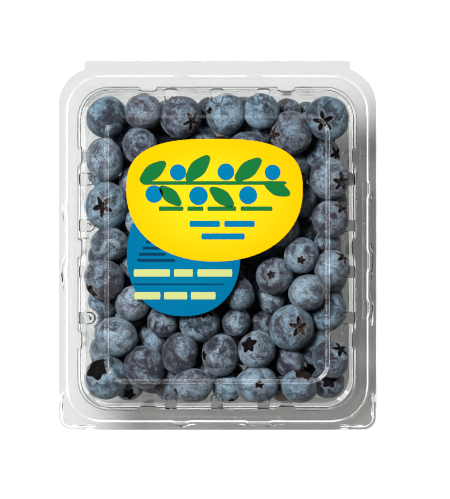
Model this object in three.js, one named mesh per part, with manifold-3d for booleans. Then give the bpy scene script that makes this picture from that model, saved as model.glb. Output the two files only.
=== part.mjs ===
// A shut clear clamshell punnet of blueberries with a sticker on its lid.
//
// Millimetres, +Z up. The punnet stands on z = 0, its hinge edge faces +Y and its two lift tabs
// are at the -Y corners. x = 0 is the middle of its width, y = 0 the middle of its length.
//
// The tray and the lid are thin formed shells: each one is an outer skin, lofted from rounded
// rectangles, less an inner hollow that is one sheet thickness smaller.

import * as THREE from 'three';
import { mergeVertices } from 'three/addons/utils/BufferGeometryUtils.js';
import Module from 'manifold-3d';

const wasm = await Module();
wasm.setup();

// ---------------------------------------------------------------- driving dimensions

const packWidth = 109.5;
const packLength = 127;
const sheet = 0.45;             // thickness of the formed sheet
const jointGap = 0.3;           // air between the tray's flange and the lid's

const hingeWidth = 92.2;
const hingeDepth = 2.2;         // how far the hinge strip stands out behind the flanges
const backCorner = 12.8;        // corner radii of the flange
const frontCorner = 4.3;
const innerCorner = 12.4;       // corner radius that the bead and the walls follow

const trayFlangeTop = 26;
const lidFlangeTop = trayFlangeTop + jointGap + sheet;
const lidPlateTop = 35.6;
const lidPanelTop = 36.8;
const labelSheet = 0.2;

// Distances in from the flange's edge.
const beadInset = 3.4;
const wallFootInset = 6.8;
const lidWallTopInset = 8.0;
const shoulderInset = 9.7;
const panelFootInset = 16.2;
const panelEdgeInset = 17.6;
const trayBaseInset = 10;
const footRingInset = 17.6;

const lidWallTop = 34.3;
const trayBaseTop = 1.8;        // where the tray's wall meets the round at its base
const baseRecess = 1;           // the middle of the base stands this far off the table

// Ribs pressed into the walls, and slots that let air through.
const ribMouth = 6.2;
const ribFlat = 3.4;
const ribDepth = 1.4;
const ribsLong = [-31.4, 0, 31.4];
const ribsShort = [-23.75, 23.75];
const ventWidth = 4;
const ventReach = 12.8;         // a vent's round end, in from the flange's edge
const ventFloor = 29.4;
const ventsLong = [-23.8, -7.94, 7.94, 23.8];
const ventsShort = [-15.9, 0, 15.9];

// The sticker: a wide oval field over a round one at its lower left.
const ovalField = { x: -0.9, y: 15.5, radiusX: 30.2, radiusY: 21 };
const roundField = { x: -11.5, y: -3.5, radiusX: 19.4, radiusY: 20.7 };

const cornerSteps = 5;
const ventSteps = 6;
const halfWidth = packWidth / 2;
const halfLength = (packLength - hingeDepth) / 2;
const middleY = -hingeDepth / 2;

// ---------------------------------------------------------------- mesh helpers

// Four corner arcs, counter-clockwise seen from above, at one height.
function roundedRing(inset, z, back = innerCorner, front = innerCorner) {
  const halfX = halfWidth - inset;
  const halfY = halfLength - inset;
  const corners = [
    { sx: 1, sy: 1, radius: back, start: 0 },
    { sx: -1, sy: 1, radius: back, start: 90 },
    { sx: -1, sy: -1, radius: front, start: 180 },
    { sx: 1, sy: -1, radius: front, start: 270 },
  ];
  const ring = [];
  for (const { sx, sy, radius, start } of corners) {
    for (let step = 0; step <= cornerSteps; step += 1) {
      const angle = THREE.MathUtils.degToRad(start + (90 * step) / cornerSteps);
      const x = sx * (halfX - radius) + radius * Math.cos(angle);
      const y = middleY + sy * (halfY - radius) + radius * Math.sin(angle);
      ring.push([x, y, z]);
    }
  }
  return ring;
}

// The walls' corners tighten with their distance from the bead, as concentric lines do.
function cornerRadiusAt(inset) {
  return Math.max(innerCorner - (inset - beadInset) * 0.55, 4);
}

function wallRing(inset, z) {
  return roundedRing(inset, z, cornerRadiusAt(inset), cornerRadiusAt(inset));
}

function flangeRing(z) {
  return roundedRing(0, z, backCorner, frontCorner);
}

function solidFrom(positions, triangles) {
  return new wasm.Manifold(new wasm.Mesh({
    numProp: 3,
    vertProperties: new Float32Array(positions.flat()),
    triVerts: new Uint32Array(triangles.flat()),
  }));
}

// A closed solid through rings of equally many points that run upwards from the first to the
// last. Both ends are closed by flat caps, or the last ring joins the first.
function loft(rings, { loop = false } = {}) {
  const count = rings[0].length;
  const triangles = [];
  const spans = loop ? rings.length : rings.length - 1;
  for (let level = 0; level < spans; level += 1) {
    const low = level * count;
    const high = ((level + 1) % rings.length) * count;
    for (let i = 0; i < count; i += 1) {
      const next = (i + 1) % count;
      triangles.push([low + i, low + next, high + next], [low + i, high + next, high + i]);
    }
  }
  if (!loop) {
    const top = (rings.length - 1) * count;
    for (let i = 1; i < count - 1; i += 1) {
      triangles.push([0, i + 1, i], [top, top + i, top + i + 1]);
    }
  }
  return solidFrom(rings.flat(), triangles);
}

function solidOf(geometry) {
  const bare = geometry.clone();
  bare.deleteAttribute('normal');
  bare.deleteAttribute('uv');
  const merged = mergeVertices(bare, 1e-5);
  return new wasm.Manifold(new wasm.Mesh({
    numProp: 3,
    vertProperties: new Float32Array(merged.attributes.position.array),
    triVerts: new Uint32Array(merged.index.array),
  }));
}

// The largest connected body of a solid: loose scraps and sealed hollows drop away.
function wholeBody(solid) {
  return solid.decompose().reduce((best, part) => (part.volume() > best.volume() ? part : best));
}

function meshOf(solid, name, material) {
  const { vertProperties, triVerts, numProp } = solid.getMesh();
  const geometry = new THREE.BufferGeometry();
  const positions = new Float32Array((vertProperties.length / numProp) * 3);
  for (let i = 0; i < positions.length / 3; i += 1) {
    for (let axis = 0; axis < 3; axis += 1) {
      positions[3 * i + axis] = vertProperties[numProp * i + axis];
    }
  }
  geometry.setAttribute('position', new THREE.BufferAttribute(positions, 3));
  geometry.setIndex(new THREE.BufferAttribute(new Uint32Array(triVerts), 1));
  geometry.computeVertexNormals();
  const mesh = new THREE.Mesh(geometry, material);
  mesh.name = name;
  return mesh;
}

// The four sides, each with the way out of the pack and the way along the side.
const sides = [
  { out: [1, 0], along: [0, 1], reach: halfWidth, ribs: ribsLong, vents: ventsLong },
  { out: [0, 1], along: [-1, 0], reach: halfLength, ribs: ribsShort, vents: ventsShort },
  { out: [-1, 0], along: [0, -1], reach: halfWidth, ribs: ribsLong, vents: ventsLong },
  { out: [0, -1], along: [1, 0], reach: halfLength, ribs: ribsShort, vents: ventsShort },
];

function onSide(side, along, inset, z) {
  const out = side.reach - inset;
  return [
    side.out[0] * out + side.along[0] * along,
    middleY + side.out[1] * out + side.along[1] * along,
    z,
  ];
}

// ---------------------------------------------------------------- ribs and vents

// A rib is a groove of trapezoid plan that leans with the wall. `grow` widens it by one sheet
// thickness, for the matching step on the inside of the shell.
function ribGroove(side, at, grow, low, high) {
  const ring = ({ z, wallInset, depth }) => {
    const mouth = ribMouth / 2 + grow;
    const flat = ribFlat / 2 + grow;
    const outside = wallInset - 1.5;
    const face = wallInset + depth + grow;
    return [
      onSide(side, at - mouth, outside, z),
      onSide(side, at + mouth, outside, z),
      onSide(side, at + flat, face, z),
      onSide(side, at - flat, face, z),
    ];
  };
  return loft([ring(low), ring(high)]);
}

function ribGrooves(grow, low, high) {
  return sides.flatMap((side) => side.ribs.map((at) => ribGroove(side, at, grow, low, high)));
}

function cutAll(solid, cutters) {
  return cutters.reduce((rest, cutter) => rest.subtract(cutter), solid);
}

// A vent starts in the wall, crosses the shoulder and ends round in the lid's plate.
function ventSlot(side, at) {
  const radius = ventWidth / 2;
  const ring = (z) => {
    const points = [
      onSide(side, at - radius, wallFootInset - 2, z),
      onSide(side, at + radius, wallFootInset - 2, z),
    ];
    for (let step = 0; step <= ventSteps; step += 1) {
      const angle = (Math.PI * step) / ventSteps;
      const inset = ventReach - radius + radius * Math.sin(angle);
      points.push(onSide(side, at + radius * Math.cos(angle), inset, z));
    }
    return points;
  };
  return loft([ring(ventFloor), ring(lidPanelTop + 2)]);
}

// ---------------------------------------------------------------- lid

// Half widths of the bead's foot and crest on the lid and the tray. The tray's bead fills the
// groove under the lid's with the joint gap left free all round.
const lidBead = { foot: 1.5, crest: 0.95, top: lidFlangeTop + 0.85 };
const lidBeadGroove = { foot: 1.15, crest: 0.65, top: lidFlangeTop + 0.4 };
const trayBead = { foot: 0.8, crest: 0.35, top: trayFlangeTop + 0.8 };
const trayBeadGroove = { foot: 0.4, crest: 0.12, top: trayFlangeTop + 0.3 };

function beadRings({ foot, crest, top }, base) {
  return [
    wallRing(beadInset - foot, base),
    wallRing(beadInset - crest, top),
    wallRing(beadInset + crest, top),
    wallRing(beadInset + foot, base),
  ];
}

function hingeStrip(flangeTop) {
  const y0 = middleY + halfLength - sheet;
  const y1 = packLength / 2;
  const ring = (z) => [
    [-hingeWidth / 2, y0, z],
    [hingeWidth / 2, y0, z],
    [hingeWidth / 2, y1, z],
    [-hingeWidth / 2, y1, z],
  ];
  return loft([ring(flangeTop - sheet), ring(flangeTop)]);
}

function makeLid() {
  const underside = lidFlangeTop - sheet;
  const ribLow = { z: lidFlangeTop, wallInset: wallFootInset, depth: ribDepth };
  const ribHigh = { z: lidWallTop + 0.2, wallInset: wallFootInset, depth: ribDepth };
  const skin = cutAll(loft([
    flangeRing(underside),
    flangeRing(lidFlangeTop),
    ...beadRings(lidBead, lidFlangeTop),
    wallRing(wallFootInset, lidFlangeTop),
    wallRing(lidWallTopInset, lidWallTop),
    wallRing(shoulderInset, lidPlateTop),
    wallRing(panelFootInset, lidPlateTop),
    wallRing(panelEdgeInset, lidPanelTop),
  ]), ribGrooves(0, ribLow, ribHigh));
  const hollow = cutAll(loft([
    wallRing(wallFootInset + sheet, underside - 1),
    wallRing(wallFootInset + sheet, underside),
    wallRing(lidWallTopInset + sheet, lidWallTop - sheet / 2),
    wallRing(shoulderInset + sheet / 2, lidPlateTop - sheet),
    wallRing(panelFootInset + sheet / 2, lidPlateTop - sheet),
    wallRing(panelEdgeInset + sheet / 2, lidPanelTop - sheet),
  ]), ribGrooves(sheet, { ...ribLow, z: underside - 2 }, { ...ribHigh, z: lidWallTop - sheet / 2 }));
  const beadGroove = loft(beadRings(lidBeadGroove, underside - 0.2), { loop: true });
  const vents = sides.flatMap((side) => side.vents.map((at) => ventSlot(side, at)));
  const shell = cutAll(skin, [hollow, beadGroove, ...vents]).add(hingeStrip(lidFlangeTop));
  return wholeBody(shell);
}

// ---------------------------------------------------------------- tray

// Slots through the base, in two rows along the pack.
const baseSlot = { width: 4, length: 12, x: 14, y: [-22, 0, 22] };

function baseSlots() {
  const { width, length, x, y } = baseSlot;
  const slots = [];
  for (const sign of [-1, 1]) {
    for (const at of y) {
      const outline = new THREE.Shape();
      const straight = (length - width) / 2;
      outline.absarc(sign * x, middleY + at + straight, width / 2, 0, Math.PI, false);
      outline.absarc(sign * x, middleY + at - straight, width / 2, Math.PI, 2 * Math.PI, false);
      const geometry = new THREE.ExtrudeGeometry(outline, {
        depth: 6, bevelEnabled: false, curveSegments: 6,
      });
      geometry.translate(0, 0, -1);
      slots.push(solidOf(geometry));
    }
  }
  return slots;
}

function makeTray() {
  const underside = trayFlangeTop - sheet;
  const ribLow = { z: trayBaseTop, wallInset: trayBaseInset, depth: ribDepth * 0.7 };
  const ribHigh = { z: underside, wallInset: wallFootInset, depth: ribDepth };
  const recess = loft([
    wallRing(footRingInset, -1),
    wallRing(footRingInset, 0),
    wallRing(footRingInset + baseRecess, baseRecess),
  ]);
  const recessInside = loft([
    wallRing(footRingInset - sheet, -1),
    wallRing(footRingInset - sheet, sheet),
    wallRing(footRingInset + baseRecess - sheet, baseRecess + sheet),
  ]);
  const skin = cutAll(loft([
    wallRing(trayBaseInset + 2.1, 0),
    wallRing(trayBaseInset + 0.8, 0.5),
    wallRing(trayBaseInset, trayBaseTop),
    wallRing(wallFootInset, underside),
    flangeRing(underside),
    flangeRing(trayFlangeTop),
    ...beadRings(trayBead, trayFlangeTop),
  ]), [...ribGrooves(0, ribLow, ribHigh), recess]);
  const hollow = cutAll(loft([
    wallRing(trayBaseInset + 2.3, sheet),
    wallRing(trayBaseInset + 1.2, 0.5 + sheet),
    wallRing(trayBaseInset + sheet, trayBaseTop + sheet / 2),
    wallRing(wallFootInset + sheet, trayFlangeTop),
    wallRing(wallFootInset + sheet, trayFlangeTop + 2),
  ]), [...ribGrooves(sheet, ribLow, { ...ribHigh, z: trayFlangeTop + 3 }), recessInside]);
  const beadGroove = loft(beadRings(trayBeadGroove, underside - 0.2), { loop: true });
  const shell = cutAll(skin, [hollow, beadGroove, ...baseSlots()]).add(hingeStrip(trayFlangeTop));
  return wholeBody(shell);
}

// ---------------------------------------------------------------- label

function ovalSheet({ x, y, radiusX, radiusY }) {
  const outline = new THREE.Shape();
  outline.absellipse(x, y, radiusX, radiusY, 0, 2 * Math.PI, false, 0);
  return solidOf(new THREE.ExtrudeGeometry(outline, {
    depth: labelSheet, bevelEnabled: false, curveSegments: 16,
  }));
}

function makeLabel() {
  return ovalSheet(ovalField).add(ovalSheet(roundField)).translate([0, 0, lidPanelTop]);
}

// ---------------------------------------------------------------- berries

// The berries that show from above, row by row from the hinge: x, y, radius, and a 0 for one
// that lies in the top layer or a 1 for one that lies lower, between its neighbours.
const shownBerries = [
  [-38.5, 44.7, 7.1, 0], [-25.9, 46.0, 6.3, 0], [-12.5, 44.2, 7.1, 0], [3.4, 45.2, 6.9, 0],
  [15.7, 46.0, 6.1, 0], [26.2, 40.0, 7.3, 0], [38.9, 44.7, 7.4, 0],
  [-34.5, 40.5, 5.6, 1], [-16.0, 47.1, 5.5, 1], [-2.7, 48.4, 5.4, 1], [33.5, 42.4, 4.9, 1],
  [-38.9, 29.7, 7.0, 0], [-26.9, 35.1, 6.4, 0], [10.6, 32.5, 7.2, 0], [36.2, 31.2, 6.3, 1],
  [-28.0, 21.5, 6.0, 1], [39.6, 22.7, 6.9, 0],
  [-38.1, 13.4, 7.6, 0], [29.2, 15.7, 5.9, 1], [39.2, 9.1, 6.4, 0],
  [-37.1, 0.1, 6.1, 0], [22.7, 4.7, 6.4, 0], [38.2, 0.9, 4.8, 1],
  [-29.0, -6.4, 5.0, 1], [29.2, -3.2, 5.9, 0], [39.7, -7.3, 6.1, 0],
  [-39.5, -11.0, 6.9, 0], [20.1, -10.3, 6.2, 0],
  [-39.4, -19.1, 5.7, 1], [-29.0, -19.8, 6.1, 0], [7.2, -16.5, 5.9, 0], [18.7, -18.4, 5.2, 1],
  [31.1, -16.8, 6.4, 0], [39.9, -22.9, 6.9, 1],
  [-34.7, -31.5, 7.3, 0], [-18.7, -26.0, 5.5, 1], [-6.7, -28.1, 6.8, 0], [6.5, -26.0, 5.0, 1],
  [15.4, -27.4, 5.2, 1], [25.9, -27.9, 7.6, 0],
  [-22.4, -32.6, 5.5, 1], [-12.5, -38.1, 6.7, 0], [1.0, -37.6, 6.8, 0], [13.6, -37.2, 6.3, 0],
  [25.1, -40.1, 5.2, 1], [39.6, -39.0, 6.4, 0],
  [-38.8, -45.4, 7.4, 0], [-26.0, -41.9, 7.2, 0], [-30.7, -49.4, 5.0, 1], [-9.2, -49.0, 6.3, 0],
  [3.7, -51.2, 4.8, 1], [13.7, -48.8, 6.6, 0], [28.2, -49.1, 6.0, 0], [39.6, -48.2, 5.6, 1],
];

const berryFloor = baseRecess + sheet + 0.35;
const berryCeiling = lidPlateTop - sheet - 0.5;
const berryLayers = [8, 17.6, 27.4];
const fillPitch = 12.3;
const fillRadius = { small: 5.7, spread: 1.5 };
const coveredCeiling = 20;      // away from the label, fill lies below what shows

// How readily a berry gives way to its neighbours while the heap settles.
const fillGive = 1;
const lowGive = 0.3;
const topGive = 0.12;
const homePull = 0.2;
const floatStep = 0.06;
const sinkStep = 0.04;

let seed = 20;
function draw() {
  seed = (seed * 16807) % 2147483647;
  return seed / 2147483647;
}

// How far a berry's skin must stay from the flange's edge at a height.
function wallInsetAt(z) {
  const up = Math.min(Math.max((z - trayBaseTop) / (trayFlangeTop - trayBaseTop), 0), 1);
  return trayBaseInset + 2 + (wallFootInset + 2.2 - trayBaseInset - 2) * up;
}

function isUnderLabel(x, y) {
  return [ovalField, roundField].some((field) => {
    const u = (x - field.x) / (field.radiusX - 2);
    const v = (y - field.y) / (field.radiusY - 2);
    return u * u + v * v < 1;
  });
}

// Holds a berry between the walls, whose corners are round, and between the base and the lid.
function keepInside(berry) {
  const wallInset = wallInsetAt(berry.z);
  const corner = Math.max(cornerRadiusAt(wallInset) - berry.r, 0);
  const edgeX = halfWidth - wallInset - berry.r - corner;
  const edgeY = halfLength - wallInset - berry.r - corner;
  const nearX = Math.min(Math.max(berry.x, -edgeX), edgeX);
  const nearY = Math.min(Math.max(berry.y, middleY - edgeY), middleY + edgeY);
  const overX = berry.x - nearX;
  const overY = berry.y - nearY;
  const over = Math.sqrt(overX * overX + overY * overY);
  if (over > corner) {
    berry.x = nearX + (overX * corner) / over;
    berry.y = nearY + (overY * corner) / over;
  }
  const open = berry.home || isUnderLabel(berry.x, berry.y);
  const top = open ? berryCeiling - berry.r : coveredCeiling;
  berry.z = Math.min(Math.max(berry.z, berryFloor + berry.r), top);
}

function startBerries() {
  const berries = shownBerries.map(([x, y, r, lower]) => ({
    x, y, r, z: berryCeiling - r - 7 * lower, home: { x, y }, give: lower ? lowGive : topGive,
  }));
  for (const z of berryLayers) {
    let row = 0;
    for (let y = middleY - 46; y <= middleY + 46; y += fillPitch * 0.866) {
      for (let x = -41 + (row % 2) * fillPitch * 0.5; x <= 41; x += fillPitch) {
        const berry = {
          x: x + draw() - 0.5,
          y: y + draw() - 0.5,
          z: z + draw() - 0.5,
          r: fillRadius.small + fillRadius.spread * draw(),
          home: null,
          give: fillGive,
        };
        keepInside(berry);
        const crowded = berries.some((other) => {
          const near = 0.74 * (other.r + berry.r);
          const dx = other.x - berry.x;
          const dy = other.y - berry.y;
          const dz = other.z - berry.z;
          return dx * dx + dy * dy + dz * dz < near * near;
        });
        if (!crowded) {
          berries.push(berry);
        }
      }
      row += 1;
    }
  }
  return berries;
}

// Pushes touching berries apart, a little at a time, until they lie beside each other. Those
// that show are drawn back to their places, and the top layer of them floats up to the lid.
function settle(berries, rounds = 320, press = 0.3) {
  for (let round = 0; round < rounds; round += 1) {
    for (let i = 0; i < berries.length; i += 1) {
      for (let j = i + 1; j < berries.length; j += 1) {
        const a = berries[i];
        const b = berries[j];
        const dx = b.x - a.x;
        const dy = b.y - a.y;
        const dz = b.z - a.z;
        const least = a.r + b.r - press;
        const squared = dx * dx + dy * dy + dz * dz;
        if (squared < least * least) {
          const distance = Math.sqrt(squared) + 1e-9;
          const push = (least - distance) / distance;
          const shareA = (push * a.give) / (a.give + b.give);
          const shareB = push - shareA;
          a.x -= shareA * dx;
          a.y -= shareA * dy;
          a.z -= shareA * dz;
          b.x += shareB * dx;
          b.y += shareB * dy;
          b.z += shareB * dz;
        }
      }
    }
    for (const berry of berries) {
      if (berry.home) {
        berry.x += homePull * (berry.home.x - berry.x);
        berry.y += homePull * (berry.home.y - berry.y);
        berry.z += berry.give === topGive ? floatStep : 0;
      } else if (round < rounds / 2) {
        berry.z -= sinkStep;
      }
      keepInside(berry);
    }
  }
  return berries;
}

// The core fills the heap's middle, so that each berry on the outside is joined to the rest.
function heapCore() {
  return loft([
    wallRing(trayBaseInset + 7.2, 6),
    wallRing(trayBaseInset + 5.2, 8.5),
    wallRing(wallFootInset + 7, 20),
    wallRing(wallFootInset + 9, 24),
  ]);
}

// Berries that show from above are rounder than those that fill the pack below them.
function berrySolid({ x, y, z, r, home }) {
  const ball = home ? new THREE.IcosahedronGeometry(r, 1) : new THREE.DodecahedronGeometry(r, 0);
  return solidOf(ball).translate([x, y, z]);
}

function makeBerries() {
  const berries = settle(startBerries());
  const solids = berries.map(berrySolid);
  return wholeBody(wasm.Manifold.union([heapCore(), ...solids]));
}

// ---------------------------------------------------------------- the scene graph

const clearPlastic = new THREE.MeshStandardMaterial({ color: 0xdfe5e4, roughness: 0.08, metalness: 0 });
const printedPaper = new THREE.MeshStandardMaterial({ color: 0xf7d400, roughness: 0.45, metalness: 0 });
const berrySkin = new THREE.MeshStandardMaterial({ color: 0x56677d, roughness: 0.6, metalness: 0 });

const tray = new THREE.Group();
tray.add(meshOf(makeTray(), 'tray', clearPlastic), meshOf(makeBerries(), 'berries', berrySkin));

const lid = new THREE.Group();
lid.add(meshOf(makeLid(), 'lid', clearPlastic), meshOf(makeLabel(), 'label', printedPaper));

const punnet = new THREE.Group();
punnet.add(tray, lid);

export default punnet;
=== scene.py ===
# %% [markdown]
# # A clear clamshell punnet of blueberries
# The pack is one thin formed sheet of clear plastic, folded over at a living hinge into a tray
# and a lid. About 150 blueberries fill it, and a printed sticker lies on the lid's raised
# panel. The solids that carry and move all this are loaded as a fixed frame. This file makes
# what the eye sees around them: the sheet with its fillets and ribs, the loose berries, the
# print, the light and the camera.

import math
import random

import bpy
from mathutils import Matrix, Vector, noise


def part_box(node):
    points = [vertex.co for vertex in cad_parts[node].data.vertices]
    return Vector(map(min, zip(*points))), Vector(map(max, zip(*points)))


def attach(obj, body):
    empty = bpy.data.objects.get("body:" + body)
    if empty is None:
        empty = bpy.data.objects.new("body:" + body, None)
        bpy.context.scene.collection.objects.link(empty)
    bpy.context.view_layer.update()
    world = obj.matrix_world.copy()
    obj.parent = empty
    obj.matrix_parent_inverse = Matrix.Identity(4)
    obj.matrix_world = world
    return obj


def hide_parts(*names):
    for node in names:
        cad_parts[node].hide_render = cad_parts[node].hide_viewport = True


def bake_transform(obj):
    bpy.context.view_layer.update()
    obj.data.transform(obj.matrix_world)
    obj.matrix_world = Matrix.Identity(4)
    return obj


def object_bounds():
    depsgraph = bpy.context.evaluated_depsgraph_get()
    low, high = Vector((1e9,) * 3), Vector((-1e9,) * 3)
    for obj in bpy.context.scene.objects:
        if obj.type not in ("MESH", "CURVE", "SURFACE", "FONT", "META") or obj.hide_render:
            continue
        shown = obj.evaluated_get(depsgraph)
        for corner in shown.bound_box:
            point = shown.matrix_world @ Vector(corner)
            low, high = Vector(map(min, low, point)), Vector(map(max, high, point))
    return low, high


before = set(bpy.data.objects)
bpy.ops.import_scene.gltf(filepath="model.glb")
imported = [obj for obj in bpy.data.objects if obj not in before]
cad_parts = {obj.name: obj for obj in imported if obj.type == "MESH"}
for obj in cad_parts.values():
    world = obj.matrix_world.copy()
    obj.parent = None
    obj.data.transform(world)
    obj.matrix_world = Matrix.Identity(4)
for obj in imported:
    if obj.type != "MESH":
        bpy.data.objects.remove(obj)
cad_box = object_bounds()
bpy.ops.object.select_all(action="DESELECT")

MM = 0.001
scene = bpy.context.scene
print("CAD box in mm:", [[round(c / MM, 2) for c in corner] for corner in cad_box])

# %% [markdown]
# ## The sizes that everything follows
# A formed pack is a stack of rounded rectangles: each line of it, such as the foot of a wall
# or the crest of a bead, lies a fixed distance in from the flange's edge at a fixed height.
# So a few insets and heights describe the whole shell. The outer size and the heights of the
# tray and the lid come from the frame, and the rest are the pack's own dimensions.

# %% Driving dimensions in metres
tray_low, tray_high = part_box("tray")
lid_low, lid_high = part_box("lid")
label_low, label_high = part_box("label")

sheet = 0.45 * MM
hinge_depth = 2.2 * MM
half_width = tray_high.x
half_length = (tray_high.y - tray_low.y - hinge_depth) / 2
middle_y = -hinge_depth / 2
lid_flange = lid_low.z + sheet
tray_flange = lid_flange - sheet - 0.3 * MM
lid_panel = lid_high.z
lid_plate = lid_panel - 1.2 * MM
lid_wall_top = lid_plate - 1.1 * MM

bead_inset = 3.4 * MM
wall_foot = 6.8 * MM
wall_top = 7.9 * MM
shoulder = 9.8 * MM
panel_foot = 16.1 * MM
panel_edge = 17.7 * MM
tray_base = 10.0 * MM
foot_ring = 17.6 * MM
base_top = 1.8 * MM
base_recess = 1.0 * MM

back_corner = 12.8 * MM
front_corner = 4.3 * MM
inner_corner = 12.4 * MM
least_corner = 4 * MM
corner_tightening = 0.55
print("flanges at", round(tray_flange / MM, 2), "and", round(lid_flange / MM, 2), "mm")


# %% [markdown]
# ## Small helpers for modelling by operators
# Operators act on whatever is selected, so each step first selects exactly what it works on,
# by a test on the vertices' places.

# %% Selecting and editing helpers
def activate(piece):
    """Makes a piece the only selected and the active object."""
    bpy.ops.object.select_all(action="DESELECT")
    piece.select_set(True)
    bpy.context.view_layer.objects.active = piece


def select_where(piece, test):
    """Selects the vertices whose place passes a test, and says how many there are."""
    activate(piece)
    mesh = piece.data
    chosen = [test(vertex.co) for vertex in mesh.vertices]
    mesh.polygons.foreach_set("select", [False] * len(mesh.polygons))
    mesh.edges.foreach_set("select", [False] * len(mesh.edges))
    mesh.vertices.foreach_set("select", chosen)
    bpy.ops.object.mode_set(mode="EDIT")
    bpy.ops.mesh.select_mode(type="VERT")
    return sum(chosen)


def leave_edit():
    bpy.ops.object.mode_set(mode="OBJECT")


def press(piece, test, move, reach):
    """Moves the chosen vertices, and drags what lies within reach of them along softly."""
    if select_where(piece, test):
        bpy.ops.transform.translate(
            value=move, use_proportional_edit=True, proportional_edit_falloff="SMOOTH",
            proportional_size=reach)
    leave_edit()


def apply_modifier(piece, kind, **settings):
    """Adds a modifier with its settings and applies it to the mesh."""
    activate(piece)
    modifier = piece.modifiers.new(kind.title(), kind)
    for name, value in settings.items():
        setattr(modifier, name, value)
    bpy.ops.object.modifier_apply(modifier=modifier.name)


def join(pieces, name):
    """Joins pieces into the first one and names the result."""
    bpy.ops.object.select_all(action="DESELECT")
    for piece in pieces:
        piece.select_set(True)
    bpy.context.view_layer.objects.active = pieces[0]
    if len(pieces) > 1:
        bpy.ops.object.join()
    pieces[0].name = name
    return pieces[0]


def triangles_of(piece):
    return sum(len(face.vertices) - 2 for face in piece.data.polygons)


# %% [markdown]
# ## Rings and bands
# One line of the pack is a plane whose four corners are rounded by a vertex bevel, whose long
# and short sides are subdivided, and whose face is removed. All rings then have equally many
# points, so the bridge tool lays clean bands of faces between one and the next. A profile's
# bends are rounded first, because sheet that is formed over a mould has no sharp edge.

# %% Rounded outlines
arc_steps = 15
long_cuts = 110
short_cuts = 92
longest_arc_step = 20 * MM


def corner_radius(inset):
    """The walls' corners tighten with their distance from the bead."""
    return max(inner_corner - (inset - bead_inset) * corner_tightening, least_corner)


def round_corners(plane, side, radius, profile=0.5):
    """Bevels the two corners of a plane on one side of the pack, back (1) or front (-1)."""
    select_where(plane, lambda co: (co.y - middle_y) * side > 0)
    bpy.ops.mesh.bevel(offset=radius, segments=arc_steps, affect="VERTICES", profile=profile)
    leave_edit()


def ring(index, inset, back=None, front=None, front_profile=0.5):
    """A closed outline at a distance in from the flange's edge, one step under the last."""
    bpy.ops.mesh.primitive_plane_add(size=2)
    outline = bpy.context.object
    bpy.ops.object.mode_set(mode="EDIT")
    bpy.ops.transform.resize(value=(half_width - inset, half_length - inset, 1))
    bpy.ops.transform.translate(value=(0, middle_y, -index * MM))
    leave_edit()
    round_corners(outline, 1, back or corner_radius(inset))
    round_corners(outline, -1, front or corner_radius(inset), front_profile)
    select_where(outline, lambda co: True)
    bpy.ops.mesh.delete(type="ONLY_FACE")
    leave_edit()
    for axis, cuts in ((1, long_cuts), (0, short_cuts)):
        mesh = outline.data
        for edge in mesh.edges:
            a, b = (mesh.vertices[i].co for i in edge.vertices)
            edge.select = abs(a[axis] - b[axis]) > longest_arc_step
        bpy.ops.object.mode_set(mode="EDIT")
        bpy.ops.mesh.select_mode(type="EDGE")
        bpy.ops.mesh.subdivide(number_cuts=cuts)
        bpy.ops.mesh.select_all(action="DESELECT")
        leave_edit()
    group = outline.vertex_groups.new(name=f"ring {index}")
    group.add(range(len(outline.data.vertices)), 1, "REPLACE")
    return outline


def rounded(points, steps=3):
    """A profile of (inset, z, fillet) points with an arc of that fillet at each bend."""
    path = []
    for i, (inset, z, fillet) in enumerate(points):
        here = Vector((inset, z))
        if not fillet:
            path.append(here)
            continue
        before = Vector(points[i - 1][:2]) - here
        after = Vector(points[i + 1][:2]) - here
        turn = math.pi - before.angle(after)
        reach = min(fillet * math.tan(turn / 2), before.length * 0.48, after.length * 0.48)
        start = here + before.normalized() * reach
        end = here + after.normalized() * reach
        for step in range(steps + 1):
            t = step / steps
            path.append(start * (1 - t) ** 2 + here * (2 * t * (1 - t)) + end * t * t)
    return path


def select_ring(shell, index):
    shell.vertex_groups.active = shell.vertex_groups[f"ring {index}"]
    bpy.ops.object.vertex_group_select()


def shell_from(name, outlines):
    """Bridges the outlines in their order, fills the last one, and brings each to its height.
    The bridge tool needs rings that lie apart, so they are first stacked like plates."""
    rings = [ring(index, inset, *corners) for index, (inset, _, *corners) in enumerate(outlines)]
    shell = join(rings, name)
    bpy.ops.object.mode_set(mode="EDIT")
    bpy.ops.mesh.select_mode(type="VERT")
    for first in range(len(outlines) - 1):
        bpy.ops.mesh.select_all(action="DESELECT")
        select_ring(shell, first)
        select_ring(shell, first + 1)
        bpy.ops.mesh.bridge_edge_loops()
    bpy.ops.mesh.select_all(action="DESELECT")
    select_ring(shell, len(outlines) - 1)
    bpy.ops.mesh.edge_face_add()
    for index, (_, z, *_) in enumerate(outlines):
        bpy.ops.mesh.select_all(action="DESELECT")
        select_ring(shell, index)
        bpy.ops.transform.resize(value=(1, 1, 0), center_override=(0, 0, z))
    bpy.ops.mesh.select_all(action="SELECT")
    bpy.ops.mesh.normals_make_consistent(inside=False)
    leave_edit()
    shell.vertex_groups.clear()
    return shell


# %% [markdown]
# ## Ribs, vents and snaps
# The ribs stiffen the walls: the wall is drawn inwards over a few millimetres, with sloping
# flanks. The vents are slots cut right through the lid's shoulder, so they are a boolean cut
# by rounded bars. The snaps are small bumps pressed into the bead.

# %% Places along the sides
ribs_long = [-31.4 * MM, 0, 31.4 * MM]
ribs_short = [-23.75 * MM, 23.75 * MM]
rib_mouth = 6.2 * MM
rib_flat = 3.4 * MM
rib_depth = 1.4 * MM
rib_start = wall_foot - 0.6 * MM
rib_end = tray_base + 2.5 * MM
vents_long = [-23.8 * MM, -7.94 * MM, 7.94 * MM, 23.8 * MM]
vents_short = [-15.9 * MM, 0, 15.9 * MM]
vent_width = 4 * MM
vent_reach = 12.8 * MM
vent_floor = 29.4 * MM


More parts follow.
